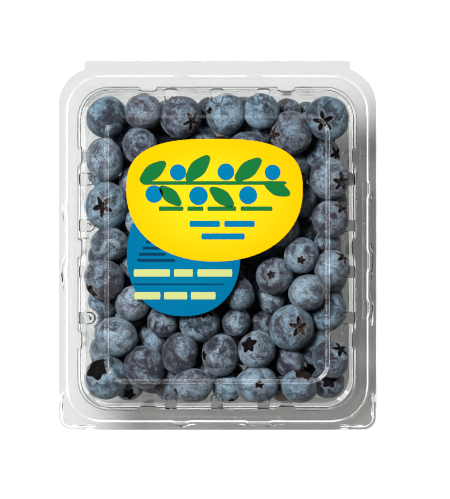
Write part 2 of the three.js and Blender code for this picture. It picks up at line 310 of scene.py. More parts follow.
def smooth(t):
    """Eases a value from 0 to 1."""
    t = min(max(t, 0), 1)
    return t * t * (3 - 2 * t)


def from_edge(co):
    """How far a point lies in from the nearest side of the flange, that side's way out, and
    how far along the side it is."""
    gap_x = half_width - abs(co.x)
    gap_y = half_length - abs(co.y - middle_y)
    if gap_x < gap_y:
        return gap_x, Vector((math.copysign(1, co.x), 0, 0)), co.y - middle_y, ribs_long
    return gap_y, Vector((0, math.copysign(1, co.y - middle_y), 0)), co.x, ribs_short


def draw_in_ribs(shell, low, high, depth_at):
    """Draws a shell's wall inwards at each rib, as deep as depth_at gives for a height."""
    for vertex in shell.data.vertices:
        inset, out, along, ribs = from_edge(vertex.co)
        if not (rib_start < inset < rib_end and low < vertex.co.z < high):
            continue
        nearest = min(abs(along - at) for at in ribs)
        share = 1 - smooth((nearest - rib_flat / 2) / (rib_mouth / 2 - rib_flat / 2))
        vertex.co -= out * share * max(depth_at(vertex.co.z, inset), 0)


# %% [markdown]
# ## The lid
# From the edge inwards the lid is a flat flange, a bead that snaps over the tray's, a wall, a
# sloping shoulder, a plate and a raised panel. It is modelled as its upper skin, and Solidify
# then gives it the thickness of the sheet on the inside.

# %% The lid's outlines
bead_height = 1.15 * MM
tab_rim = 1.25 * MM
chord_inset = 1.75 * MM
panel_corner = 6.6 * MM

lid_profile = rounded([
    (1.87 * MM, lid_flange, 0),
    (bead_inset - 1.35 * MM, lid_flange, 0.7 * MM),
    (bead_inset, lid_flange + bead_height, 1.3 * MM),
    (bead_inset + 1.4 * MM, lid_flange, 0.7 * MM),
    (wall_foot, lid_flange, 0.5 * MM),
    (wall_top, lid_wall_top, 1.1 * MM),
    (shoulder, lid_plate, 1.4 * MM),
    (panel_foot, lid_plate, 1.5 * MM),
    (panel_edge, lid_panel, 1.5 * MM),
    (panel_edge + 3 * MM, lid_panel, 0),
])

flange_outlines = [
    (0, lid_flange, back_corner, front_corner),
    (0.4 * MM, lid_flange, back_corner, front_corner - 0.3 * MM),
    (0.85 * MM, lid_flange, back_corner, front_corner - 0.6 * MM),
    (tab_rim, lid_flange, back_corner, front_corner - 0.9 * MM),
    (1.55 * MM, lid_flange, back_corner, front_corner - 1.0 * MM),
    (chord_inset, lid_flange, back_corner, 6.6 * MM, 0.25),
    (chord_inset + 0.08 * MM, lid_flange, back_corner, 7.4 * MM, 0.27),
]


def lid_outline(point):
    """The outline at a point of the lid's profile. The raised panel has wider corners."""
    if point.x < panel_foot - 1 * MM:
        return point.x, point.y
    corner = panel_corner + (panel_foot - point.x) * 0.5
    return point.x, point.y, corner, corner


lid_outlines = flange_outlines + [lid_outline(point) for point in lid_profile]
print(len(lid_outlines), "outlines for the lid")

# %% The lid's upper skin
lid_shell = shell_from("lid_sheet", lid_outlines)
draw_in_ribs(lid_shell, lid_flange + 0.02 * MM, lid_plate - 0.2 * MM,
             lambda z, inset: wall_foot + rib_depth - inset)
print("lid skin:", triangles_of(lid_shell), "triangles")

# %% [markdown]
# The flange's rim is flat so far. At the back it is drawn out into the strip that the hinge hangs
# on, and its front corners become tabs to lift the lid by. The tray's flange gets the same
# strip and tabs, with the tabs bent down instead of up.

# %% The hinge strip and the tabs
hinge_reach = 46.1 * MM
hinge_curve = 3 * MM
hinge_rise = 0.9 * MM
tab_chord = 10.2 * MM
tab_slope = 1.2 * MM
tab_lift = 0.35 * MM
rim_drop = 0.25 * MM
rim_width = 0.9 * MM
rim_bend = 0.6 * MM
rim_length = 14 * MM
rim_fade = 3 * MM
ridge_height = 0.2 * MM
ridge_half = 0.35 * MM
slack = 0.05 * MM


def face_up(shell, up):
    """Turns all faces over if the widest one, in the middle, doesn't point up (or down)."""
    middle = max(shell.data.polygons, key=lambda face: face.area)
    if middle.normal.z * up < 0:
        select_where(shell, lambda co: True)
        bpy.ops.mesh.flip_normals()
        leave_edit()


def at_hinge(co):
    """True for points of the outer outline that the hinge strip starts from."""
    gap_x = abs(co.x) - half_width + back_corner
    gap_y = co.y - middle_y - half_length + back_corner
    if abs(co.x) > hinge_reach or gap_y < 0:
        return False
    return (math.hypot(gap_x, gap_y) if gap_x > 0 else gap_y) > back_corner - 0.02 * MM


def extend_hinge(shell):
    """Draws the back edge of the flange out into the strip that the hinge hangs on, with a
    small hollow curve from the strip's ends to the corners."""
    count = select_where(shell, at_hinge)
    bpy.ops.mesh.extrude_edges_move()
    bpy.ops.transform.resize(value=(1, 0, 1), center_override=(0, cad_box[1].y, 0))
    leave_edit()
    for vertex in shell.data.vertices:
        past = abs(vertex.co.x) - hinge_reach
        inset = back_corner - math.hypot(past + hinge_reach - half_width + back_corner,
                                         vertex.co.y - middle_y - half_length + back_corner)
        if 0 < past < hinge_curve and vertex.co.y > 0 and inset < slack:
            vertex.co.y += hinge_rise * (1 - past / hinge_curve) ** 2
    return count


def shape_tabs(shell, lift):
    """Lifts the front corners' tabs out to a diagonal chord, turns their rims down, and
    raises a fine ridge along the rims."""
    for vertex in shell.data.vertices:
        co = vertex.co
        gap_x = half_width - abs(co.x)
        gap_y = half_length + (co.y - middle_y)
        co.z += lift * smooth((tab_chord - gap_x - gap_y) / tab_slope)
        inset = min(gap_x, gap_y)
        if max(gap_x, gap_y) < front_corner:
            inset = front_corner - math.hypot(front_corner - gap_x, front_corner - gap_y)
        at_rim = smooth((rim_width - inset) / rim_bend)
        on_ridge = max(1 - abs(inset - tab_rim) / ridge_half, 0)
        near = smooth((rim_length - max(gap_x, gap_y)) / rim_fade)
        co.z += math.copysign(1, lift) * near * (ridge_height * on_ridge - rim_drop * at_rim)


# %% [markdown]
# The bead isn't even all along: in two places on each side it widens inwards, where the
# tray's bead locks into it, and a few small snaps bulge outwards.

# %% Locks and snaps on the bead
right, left = Vector((1, 0, 0)), Vector((-1, 0, 0))
back, front = Vector((0, 1, 0)), Vector((0, -1, 0))
lock_insets = (3.3 * MM, 4.3 * MM, 5.0 * MM, 6.6 * MM)
snap_insets = (0.85 * MM, 1.95 * MM, 2.7 * MM, 3.6 * MM)
lock_shift = 0.95 * MM
snap_shift = 0.5 * MM
bulge_fade = 1.3 * MM
locks = [
    (right, 34.2 * MM, 10.5 * MM), (right, -35.8 * MM, 10.5 * MM),
    (left, 34.2 * MM, 10.5 * MM), (left, -35.8 * MM, 8 * MM),
    (back, -27.8 * MM, 9 * MM), (back, 28.4 * MM, 9.5 * MM),
    (front, -25.5 * MM, 8 * MM), (front, 31 * MM, 8 * MM),
]
snaps = [
    (right, 20.6 * MM, 2 * MM), (right, -4.2 * MM, 2.9 * MM), (right, -20.4 * MM, 2 * MM),
    (left, 14 * MM, 2 * MM), (left, -8 * MM, 2 * MM),
    (front, -12.6 * MM, 2.2 * MM), (front, 14.2 * MM, 3.6 * MM),
    (back, -12.3 * MM, 2 * MM), (back, 12.7 * MM, 2 * MM),
]


def bulge(shell, out, centre, half_span, insets, amount):
    """Shifts part of the bead sideways over a span of one side. insets are where the shift
    begins, is full from, is full to and ends."""
    begin, full_from, full_to, end = insets
    for vertex in shell.data.vertices:
        inset, way, along, _ = from_edge(vertex.co)
        if (way - out).length > 0.1 or not begin < inset < end:
            continue
        share = 1 - smooth((abs(along - centre) - half_span) / bulge_fade)
        rise = min((inset - begin) / (full_from - begin), (end - inset) / (end - full_to), 1)
        vertex.co += out * amount * share * rise


for out, centre, half_span in locks:
    bulge(lid_shell, out, centre, half_span, lock_insets, -lock_shift)
for out, centre, half_span in snaps:
    bulge(lid_shell, out, centre, half_span, snap_insets, snap_shift)
shape_tabs(lid_shell, tab_lift)
face_up(lid_shell, 1)
print("the lid's hinge strip starts from", extend_hinge(lid_shell), "points")

# %% Giving the lid its thickness
apply_modifier(lid_shell, "SOLIDIFY", thickness=sheet, offset=-1, use_quality_normals=True)

# %% [markdown]
# ## Cutting the vents
# The cutter is an upright bar whose ends are rounded by a bevel. It is modelled once at the
# origin and copied to every vent, and one boolean takes all the copies out of the lid.

# %% The cutters
def bar_cutter(name, width, length, low, high):
    """An upright bar with round ends, long in X, with its middle at the origin."""
    bpy.ops.mesh.primitive_cube_add(size=1)
    bar = bpy.context.object
    bar.name = name
    bpy.ops.object.mode_set(mode="EDIT")
    bpy.ops.transform.resize(value=(length, width, high - low))
    bpy.ops.transform.translate(value=(0, 0, (low + high) / 2))
    bpy.ops.mesh.select_all(action="DESELECT")
    leave_edit()
    for edge in bar.data.edges:
        a, b = (bar.data.vertices[i].co for i in edge.vertices)
        edge.select = abs(a.z - b.z) > (high - low) / 2
    bpy.ops.object.mode_set(mode="EDIT")
    bpy.ops.mesh.select_mode(type="EDGE")
    bpy.ops.mesh.bevel(offset=width * 0.499, segments=8, affect="EDGES")
    leave_edit()
    return bar


def copy_at(master, matrix, name):
    """A copy of a piece with its own mesh, moved in its mesh."""
    copy = master.copy()
    copy.data = master.data.copy()
    copy.data.transform(matrix)
    copy.name = name
    scene.collection.objects.link(copy)
    return copy


def on_side(out, along, inset):
    """The place and the turn of something at a side of the pack."""
    across = Vector((-out.y, out.x, 0))
    reach = half_width if out.x else half_length
    sign = 1 if out in (right, front) else -1
    place = out * (reach - inset) + Vector((0, middle_y, 0)) + across * along * sign
    return Matrix.Translation(place) @ Matrix.Rotation(math.atan2(out.y, out.x), 4, "Z")


def cut_out(shell, cutters):
    """Takes the cutters out of a shell and removes them."""
    cutter = join(cutters, "cutter")
    apply_modifier(shell, "BOOLEAN", operation="DIFFERENCE", object=cutter, solver="MANIFOLD")
    bpy.data.objects.remove(cutter)


def at_vents(master, name):
    """A copy of a piece at every vent. The piece itself is removed."""
    copies = [copy_at(master, on_side(out, at, vent_middle), name)
              for sides, places in (((right, left), vents_long), ((back, front), vents_short))
              for out in sides for at in places]
    bpy.data.objects.remove(master)
    return copies


vent_start = wall_foot - 3 * MM
vent_middle = (vent_start + vent_reach) / 2
vent_length = vent_reach - vent_start
vent_bar = bar_cutter("vent_bar", vent_width, vent_length, vent_floor, lid_panel + 3 * MM)
cut_out(lid_shell, at_vents(vent_bar, "vent"))
print("lid with vents:", triangles_of(lid_shell), "triangles")

# %% [markdown]
# Each vent has a low ridge round it where it lies in the plate, which slopes both ways like a
# roof. It is a wider bar that narrows upwards, from which a bar that widens upwards and the
# ridge's outer half are taken away, and it is merged into the lid.

# %% Rims round the vents
rim_low, rim_turn, rim_high = lid_plate - 0.3 * MM, lid_plate - 0.07 * MM, lid_plate + 0.25 * MM
rim_slope = 0.47 * MM
rim_gap = 0.15 * MM
rim_reach = vent_reach - shoulder - 0.3 * MM
outer_width = 9 * MM
edge_bevel = 0.13 * MM


def flared_bar(name, width, length, low, turn, high, flare):
    """A bar that is upright up to a height, and then widens (or narrows) by flare each way."""
    bar = bar_cutter(name, width, length, low, turn)
    select_where(bar, lambda co: co.z > turn - 0.01 * MM)
    bpy.ops.mesh.extrude_region_move(TRANSFORM_OT_translate={"value": (0, 0, high - turn)})
    bpy.ops.transform.resize(value=(1 + 2 * flare / length, 1 + 2 * flare / width, 1),
                             center_override=(0, 0, high))
    leave_edit()
    return bar


def vent_rim():
    """The rim of one vent, with the middle of the vent's bar at the origin."""
    wide = 2 * (2 * rim_slope + rim_gap)
    rim = flared_bar("rim", vent_width + wide, vent_length + wide, rim_low, rim_turn, rim_high,
                     -rim_slope)
    hole = flared_bar("hole", vent_width + 2 * rim_gap, vent_length + 2 * rim_gap, rim_low - MM,
                      rim_turn, 2 * rim_high - rim_turn, 2 * rim_slope)
    bpy.ops.mesh.primitive_cube_add(size=1)
    outer = bpy.context.object
    outer_size = Matrix.Diagonal((2 * (vent_length - rim_reach), outer_width, outer_width, 1))
    outer.data.transform(Matrix.Translation((vent_length / 2, 0, lid_plate)) @ outer_size)
    cut_out(rim, [hole])
    cut_out(rim, [outer])
    return rim


rims = join(at_vents(vent_rim(), "vent_rim"), "vent_rims")
apply_modifier(lid_shell, "BOOLEAN", operation="UNION", object=rims, solver="MANIFOLD")
bpy.data.objects.remove(rims)
apply_modifier(lid_shell, "BEVEL", width=edge_bevel, segments=2, limit_method="ANGLE",
               angle_limit=math.radians(60), harden_normals=False)
print("lid:", triangles_of(lid_shell), "triangles")

# %% [markdown]
# ## The tray
# The tray is modelled as its outer skin, from the flange's underside down the wall to the
# foot ring it stands on and up into the recess of its base. Its own small bead fills the
# groove under the lid's. Six slots in the base let water out.

# %% The tray's skin
tray_under = tray_flange - sheet
tray_profile = rounded([
    (2.1 * MM, tray_under, 0),
    (bead_inset - 1.1 * MM, tray_under, 0.6 * MM),
    (bead_inset, tray_under + 0.75 * MM, 1.2 * MM),
    (bead_inset + 1.1 * MM, tray_under, 0.6 * MM),
    (wall_foot, tray_under, 0.6 * MM),
    (tray_base, base_top, 1.4 * MM),
    (tray_base + 2.1 * MM, 0, 1.2 * MM),
    (foot_ring, 0, 0.4 * MM),
    (foot_ring + base_recess, base_recess, 0.4 * MM),
    (foot_ring + base_recess + 2 * MM, base_recess, 0),
])
tray_outlines = [(inset, tray_under, *rest) for inset, _, *rest in flange_outlines]
tray_outlines += [(point.x, point.y) for point in tray_profile]
tray_shell = shell_from("tray_sheet", tray_outlines)
draw_in_ribs(tray_shell, base_top, tray_under - 0.02 * MM,
             lambda z, inset: rib_depth * (0.7 + 0.3 * z / tray_flange))
shape_tabs(tray_shell, -tab_lift)
face_up(tray_shell, -1)
extend_hinge(tray_shell)
apply_modifier(tray_shell, "SOLIDIFY", thickness=sheet, offset=-1, use_quality_normals=True)

slot_width, slot_length = 4 * MM, 12 * MM
slot_x, slot_y = 14 * MM, 22 * MM
slot_bar = bar_cutter("slot_bar", slot_width, slot_length, -2 * MM, 4 * MM)
lengthways = Matrix.Rotation(math.pi / 2, 4, "Z")
slots = [copy_at(slot_bar, Matrix.Translation((x, middle_y + y, 0)) @ lengthways, "slot")
         for x in (-slot_x, slot_x) for y in (-slot_y, 0, slot_y)]
bpy.data.objects.remove(slot_bar)
cut_out(tray_shell, slots)
print("tray:", triangles_of(tray_shell), "triangles")

# %% [markdown]
# ## The living hinge
# The sheet is folded over between the two flanges. A thin strip is spun half a turn round the
# fold's middle, and it rides on neither side.

# %% The hinge film
fold_y = cad_box[1].y
fold_low = tray_flange - sheet / 2
fold_high = lid_flange - sheet / 2
film = 0.28 * MM
film_start = 0.3 * MM
film_margin = 0.4 * MM
bpy.ops.mesh.primitive_plane_add(size=1)
hinge_film = bpy.context.object
hinge_film.name = "hinge_film"
bpy.ops.object.mode_set(mode="EDIT")
bpy.ops.transform.resize(value=(2 * (hinge_reach - film_margin), film_start, 1))
bpy.ops.transform.translate(value=(0, fold_y - film_start / 2, fold_low))
leave_edit()
select_where(hinge_film, lambda co: co.y > fold_y - 0.01 * MM)
bpy.ops.mesh.spin(steps=10, angle=-math.pi, axis=(1, 0, 0),
                  center=(0, fold_y, (fold_low + fold_high) / 2))
leave_edit()
apply_modifier(hinge_film, "SOLIDIFY", thickness=film, offset=0)
print("hinge film reaches y", round(max(v.co.y for v in hinge_film.data.vertices) / MM, 2))

# %% Soft shading on the sheets
for shell in (lid_shell, tray_shell, hinge_film):
    activate(shell)
    bpy.ops.object.shade_smooth_by_angle(angle=math.radians(50))
    apply_modifier(shell, "WEIGHTED_NORMAL", keep_sharp=True, weight=60)

# %% [markdown]
# ## The sticker
# The sticker is a wide oval laid over a round field at its lower left, die-cut to that shape.
# Each field of colour is its own thin sheet, modelled from a circle, and the motif is plain:
# a twig with leaves and round berries, and bars where a real one has its small print.

# %% Fields of colour
paper_top = label_high.z
ink = 0.03 * MM
blue_low, blue_top = label_low.z + ink, paper_top - 0.06 * MM
yellow_centre, yellow_radii = (-0.9 * MM, 15.5 * MM), (30.2 * MM, 21 * MM)
blue_centre, blue_radii = (-11.5 * MM, -3.5 * MM), (19.4 * MM, 20.7 * MM)


def disc(name, centre, radii, low, high, sides=128, upper=2.0, lower=2.0, rise=0.0):
    """A thin oval sheet between two heights. Its upper or lower half is squarer above 2, and
    rise moves its widest line up by that share of its half height."""
    bpy.ops.mesh.primitive_circle_add(vertices=sides, radius=1, fill_type="NGON")
    sheet_piece = bpy.context.object
    sheet_piece.name = name
    for vertex in sheet_piece.data.vertices:
        co = vertex.co
        power = 2 / (upper if co.y > 0 else lower)
        co.x = math.copysign(abs(co.x) ** power, co.x)
        co.y = math.copysign(abs(co.y) ** power, co.y)
        co.y = rise + co.y * (1 - rise if co.y > 0 else 1 + rise)
    place = Matrix.Translation((*centre, low))
    sheet_piece.data.transform(place @ Matrix.Diagonal((*radii, 1, 1)))
    bpy.ops.object.mode_set(mode="EDIT")
    bpy.ops.mesh.select_all(action="SELECT")
    bpy.ops.mesh.extrude_region_move(TRANSFORM_OT_translate={"value": (0, 0, high - low)})
    bpy.ops.mesh.select_all(action="SELECT")
    bpy.ops.mesh.normals_make_consistent(inside=False)
    leave_edit()
    return sheet_piece


blue_field = disc("label_blue", blue_centre, blue_radii, blue_low, blue_top,
                  upper=2.3, lower=2.2)
yellow_field = disc("label_yellow", yellow_centre, yellow_radii, label_low.z, paper_top,
                    upper=2.8, lower=2.15, rise=0.16)

# %% [markdown]
# The leaves start as circles too. Their two ends are drawn out to points with a proportional
# move, as a modeller would pull at them.

# %% The twig's leaves, berries and stem
def leaf(name, x, y, length, width, turn, top):
    """A pointed leaf with its length along the given turn."""
    piece = disc(name, (0, 0), (length * 0.36, width / 2), top - ink, top, sides=48)
    for side in (1, -1):
        press(piece, lambda co: co.x * side > length * 0.35, (side * length * 0.14, 0, 0),
              length * 0.26)
    piece.data.transform(Matrix.Translation((x, y, 0)) @ Matrix.Rotation(turn, 4, "Z"))
    return piece


def bar(name, x, y, length, height, top):
    """A printed bar with round ends, its left end at x."""
    piece = disc(name, (x + length / 2, y), (length / 2, height / 2), top - ink, top, sides=24)
    for vertex in piece.data.vertices:
        off = vertex.co.x - x - length / 2
        share = abs(off) / (length / 2)
        if share < 0.999:
            vertex.co.y = y + math.copysign(height / 2, vertex.co.y - y)
    return piece


print_top = paper_top + ink
leaf_rows = [
    (-22.0, 25.2, 11.0, 5.4, 38), (-16.0, 17.0, 9.6, 4.8, -42), (-6.6, 26.4, 11.5, 5.6, 48),
    (1.6, 16.6, 10.2, 5.0, -38), (10.6, 26.0, 11.5, 5.6, 40), (20.6, 19.4, 9.6, 4.8, -24),
]
leaves = [leaf("leaf", x * MM, y * MM, long * MM, wide * MM, math.radians(turn), print_top)
          for x, y, long, wide, turn in leaf_rows]
leaves.append(bar("twig", -26 * MM, 21.4 * MM, 50 * MM, 1.25 * MM, print_top + ink / 2))
leaves += [bar("line", x * MM, y * MM, long * MM, 1.5 * MM, print_top)
           for x, y, long in ((-20, 12.6, 8.5), (-10.2, 12.6, 5.5), (-3.4, 12.6, 10), (8, 12.6, 11))]
leaves = join(leaves, "label_leaves")

dot_rows = [(-21.6, 17.6, 3.0), (-13.4, 25.0, 2.8), (-6.4, 17.0, 3.2), (3.0, 25.2, 2.9),
            (10.6, 17.2, 3.1), (19.0, 25.0, 2.7)]
dots = [disc("dot", (x * MM, y * MM), (r * MM, r * MM), print_top - ink, print_top, sides=48)
        for x, y, r in dot_rows]
dots += [bar("line", x * MM, y * MM, long * MM, 2.1 * MM, print_top)
         for x, y, long in ((-9.5, 7.4, 10.5), (2.4, 7.4, 10.5), (-5.5, 3.1, 15))]
dots = join(dots, "label_berries")

bar_rows = [(-28.6, -9.4, 12.5), (-14.8, -9.4, 6.5), (-6.8, -9.4, 12), (-28.4, -17.2, 9),
            (-18.2, -17.2, 8), (-9.0, -17.2, 8.5)]
small_rows = [(-24.4, 1.2, 6.5), (-25.6, -0.9, 8), (-26.8, -3.0, 9.2), (-27.4, -5.1, 13)]
blue_print = blue_top + ink
bars = [bar("bar", x * MM, y * MM, long * MM, 2.5 * MM, blue_print) for x, y, long in bar_rows]
bars = join(bars, "label_bars")
notes = [bar("note", x * MM, y * MM, long * MM, 1 * MM, blue_print) for x, y, long in small_rows]
notes.append(bar("rule", -29 * MM, -13.3 * MM, 31.5 * MM, 0.5 * MM, blue_print))
notes = join(notes, "label_notes")
label_pieces = (blue_field, yellow_field, leaves, dots, bars, notes)
print("label pieces:", [triangles_of(piece) for piece in label_pieces])

# %% [markdown]
# ## One blueberry
# A blueberry is a slightly flattened ball. At one end is the crown, a star-shaped pit with
# five arms and a thin raised lip, and at the other the small scar of its stalk. The mesh is a
# UV sphere whose rings near the pole are drawn into a star, so that few faces give a crisp
# edge. Two attributes remember where the crown and the scar are, for the skin's colours.

# %% The berry masters
lip_ring = 4
lip_width = 0.075
calm_ring = 10


def berry_master(name, segments, rings, tip, notch, sharp, depth):
    """A berry of radius 1 with its crown upwards. tip and notch are how far the star's arms
    and the bays between them reach, as angles from the pole."""
    bpy.ops.mesh.primitive_uv_sphere_add(segments=segments, ring_count=rings, radius=1)
    master = bpy.context.object
    master.name = name
    mesh = master.data
    step = math.pi / rings
    for mark in ("crown", "scar"):
        mesh.attributes.new(mark, "FLOAT", "POINT")
    crown, scar = mesh.attributes["crown"].data, mesh.attributes["scar"].data
    star_shares = {0: 0.0, 1: 0.5, 2: 0.86, 3: 1.0}
    heights = {0: -0.62 * depth, 1: -depth, 2: -0.8 * depth, 3: 0.022, 4: 0.012}
    crown_marks = {0: 0.85, 1: 1.0, 2: 0.95, 3: 0.45, 4: 0.18, 5: 0.05}
    scar_heights = {0: -0.07, 1: -0.045, 2: 0.006}
    scar_marks = {0: 1.0, 1: 0.7, 2: 0.15}
    for i, vertex in enumerate(mesh.vertices):
        co = vertex.co.normalized()
        polar = math.acos(max(min(co.z, 1), -1))
        azimuth = math.atan2(co.y, co.x)
        k = round(polar / step)
        last = rings - k
        lobes = (math.acos(math.cos(5 * azimuth + math.pi)) / math.pi) ** sharp
        star = notch + (tip - notch) * lobes
        if k in star_shares:
            polar = star * star_shares[k]
        elif k == lip_ring:
            polar = star + lip_width
        elif k < calm_ring:
            polar = k * step + (star - 2.6 * step) * (1 - (k - 3) / (calm_ring - 3)) ** 1.6
        height = 1 + heights.get(k, 0) + scar_heights.get(last, 0)
        around = Vector((math.cos(azimuth), math.sin(azimuth), 0))
        vertex.co = (around * math.sin(polar) + Vector((0, 0, math.cos(polar)))) * height
        crown[i].value = crown_marks.get(k, 0)
        scar[i].value = scar_marks.get(last, 0)
    for face in mesh.polygons:
        face.use_smooth = True
    return master


masters = {
    "star": berry_master("star_berry", 50, 30, 0.53, 0.15, 1.2, 0.18),
    "open": berry_master("open_berry", 50, 30, 0.50, 0.28, 0.9, 0.24),
    "wide": berry_master("wide_berry", 50, 30, 0.60, 0.42, 0.8, 0.2),
    "pit": berry_master("pit_berry", 50, 30, 0.26, 0.15, 1.0, 0.16),
    "small": berry_master("small_berry", 20, 14, 0.30, 0.22, 1.0, 0.12),
}
print("berry masters:", {kind: triangles_of(piece) for kind, piece in masters.items()})

# %% [markdown]
# ## The heap
# The berries that show are listed: place, radius, whether they lie in the top layer (0) or
# lower (1), the kind of crown and which way it points, and how much they are longer than
# wide. The one marked as a scar shows the end of its stalk there instead. Below them a loose
# lattice of berries fills the tray. Then all push each other apart until they touch, and the
# top ones rise to the lid, as berries do in a full punnet. The solids were packed by the same
# steps, so each of these berries lies where its solid does.

# %% The berries that show
# x, y, radius, lower, kind, crown's x and y in radii (past 1 it is out of sight), stretch in y
shown_berries = [
    (-38.5, 44.7, 7.1, 0, "pit", -1.2, 0.6, 1.0), (-25.9, 46.0, 6.3, 0, "pit", -0.4, -1.4, 1.0),
    (-12.5, 44.2, 7.1, 0, "star", 0.6, -0.25, 1.0), (3.4, 45.2, 6.9, 0, "pit", -0.86, 0.17, 1.0),
    (15.7, 46.0, 6.1, 0, "scar", 0.28, 0.33, 1.0), (26.2, 40.0, 7.3, 0, "star", -0.88, -0.07, 1.0),
    (38.9, 44.7, 7.4, 0, "star", -0.25, -0.22, 1.0),
    (-34.5, 40.5, 5.6, 1, "pit", 1.2, -0.8, 1.0), (-16.0, 47.1, 5.5, 1, "pit", 0.9, 1.2, 1.0),
    (-2.7, 48.4, 5.4, 1, "pit", 1.4, 0.3, 1.0), (33.5, 42.4, 4.9, 1, "pit", 0.2, 1.5, 1.0),
    (-38.9, 29.7, 7.0, 0, "pit", 1.3, 0.5, 1.13), (-26.9, 35.1, 6.4, 0, "pit", 1.2, 0.6, 1.0),
    (10.6, 32.5, 7.2, 0, "pit", 0.3, -1.4, 1.0), (36.2, 31.2, 6.3, 1, "star", 0.78, 0.05, 1.0),
    (-28.0, 21.5, 6.0, 1, "pit", 1.2, 0.9, 1.0), (39.6, 22.7, 6.9, 0, "star", 0.59, -0.14, 1.0),
    (-38.1, 13.4, 7.6, 0, "star", -0.17, -0.04, 1.08), (29.2, 15.7, 5.9, 1, "pit", -1.4, 0.2, 1.0),
    (39.2, 9.1, 6.4, 0, "star", 0.6, 0.62, 1.0),
    (-37.1, 0.1, 6.1, 0, "pit", -1.1, -1.0, 0.86), (22.7, 4.7, 6.4, 0, "pit", -1.3, 0.6, 1.0),
    (38.2, 0.9, 4.8, 1, "pit", -1.4, 0.5, 1.0),
    (-29.0, -6.4, 5.0, 1, "pit", 1.3, 0.7, 1.0), (29.2, -3.2, 5.9, 0, "pit", -0.05, -0.28, 1.0),
    (39.7, -7.3, 6.1, 0, "star", 0.6, 0.6, 1.0),
    (-39.5, -11.0, 6.9, 0, "open", -0.72, -0.6, 1.0), (20.1, -10.3, 6.2, 0, "pit", -0.22, 0.08, 1.0),
    (-39.4, -19.1, 5.7, 1, "pit", -1.4, 0.1, 1.0), (-29.0, -19.8, 6.1, 0, "pit", 1.1, -1.0, 1.0),
    (7.2, -16.5, 5.9, 0, "pit", 1.2, 0.9, 1.0), (18.7, -18.4, 5.2, 1, "pit", 1.5, 0.2, 1.0),
    (31.1, -16.8, 6.4, 0, "pit", -1.3, 0.6, 0.9), (39.9, -22.9, 6.9, 1, "pit", 1.3, -0.6, 1.0),
    (-34.7, -31.5, 7.3, 0, "pit", 1.4, 0.4, 0.86), (-18.7, -26.0, 5.5, 1, "pit", 1.3, 0.6, 1.0),
    (-6.7, -28.1, 6.8, 0, "star", 0.3, 0.69, 1.0), (6.5, -26.0, 5.0, 1, "pit", -1.4, 0.1, 1.0),
    (15.4, -27.4, 5.2, 1, "pit", 1.2, 0.9, 1.0), (25.9, -27.9, 7.6, 0, "star", 0.37, 0.07, 1.0),
    (-22.4, -32.6, 5.5, 1, "pit", 1.4, 0.2, 1.0), (-12.5, -38.1, 6.7, 0, "pit", 1.2, -0.9, 1.12),
    (1.0, -37.6, 6.8, 0, "pit", -0.88, -0.02, 1.06), (13.6, -37.2, 6.3, 0, "open", -0.5, 0.32, 1.0),
    (25.1, -40.1, 5.2, 1, "pit", 1.3, 0.5, 1.0), (39.6, -39.0, 6.4, 0, "star", 0.5, 0.56, 1.0),
    (-38.8, -45.4, 7.4, 0, "wide", -0.41, 0.5, 1.0), (-26.0, -41.9, 7.2, 0, "pit", 1.1, 1.0, 1.05),
    (-30.7, -49.4, 5.0, 1, "open", 0.06, -0.6, 1.0), (-9.2, -49.0, 6.3, 0, "pit", -0.86, -0.37, 0.86),
    (3.7, -51.2, 4.8, 1, "pit", 0.3, -0.85, 1.0), (13.7, -48.8, 6.6, 0, "pit", 0.1, 0.04, 0.86),
    (28.2, -49.1, 6.0, 0, "wide", 0.28, 0.84, 1.0), (39.6, -48.2, 5.6, 1, "open", 0.0, 0.1, 1.0),
]

# %% Filling the tray and settling the heap, in millimetres
def in_mm(value):
    return round(value / MM, 3)


half_x, half_y, mid_y = in_mm(half_width), in_mm(half_length), in_mm(middle_y)
wall_out, wall_in = in_mm(wall_foot) + 2.2, in_mm(tray_base) + 2
wall_low, wall_high = in_mm(base_top), in_mm(tray_flange)
berry_floor = in_mm(base_recess) + in_mm(sheet) + 0.35
berry_ceiling = in_mm(lid_plate) - in_mm(sheet) - 0.5
widest_corner, tightest_corner = in_mm(inner_corner), in_mm(least_corner)
bead_at = in_mm(bead_inset)
berry_layers = [8, 17.6, 27.4]
fill_reach_x, fill_reach_y = 41, 46
fill_pitch = 12.3
row_share = 0.866
fill_small, fill_spread = 5.7, 1.5
fill_overlap = 0.74
lower_drop = 7
covered_ceiling = 20
cover_margin = 2
fill_give, low_give, top_give = 1, 0.3, 0.12
home_pull, float_step, sink_step = 0.2, 0.06, 0.04
settle_rounds, settle_press = 320, 0.3
seed = 20
draw_factor, draw_range = 16807, 2147483647


def draw():
    """The next number between 0 and 1 of a fixed sequence."""
    global seed
    seed = (seed * draw_factor) % draw_range
    return seed / draw_range


def clamp(value, low, high):
    return min(max(value, low), high)


def wall_inset_at(z):
    """How far a berry's skin stays from the flange's edge at a height."""
    up = clamp((z - wall_low) / (wall_high - wall_low), 0, 1)
    return wall_in + (wall_out - wall_in) * up


cover_fields = [[in_mm(value) for value in (*centre, *radii)]
                for centre, radii in ((yellow_centre, yellow_radii), (blue_centre, blue_radii))]


def under_label(x, y):
    """Whether a place lies under the sticker, a little in from its edge."""
    for field_x, field_y, radius_x, radius_y in cover_fields:
        u = (x - field_x) / (radius_x - cover_margin)
        v = (y - field_y) / (radius_y - cover_margin)
        if u * u + v * v < 1:
            return True
    return False


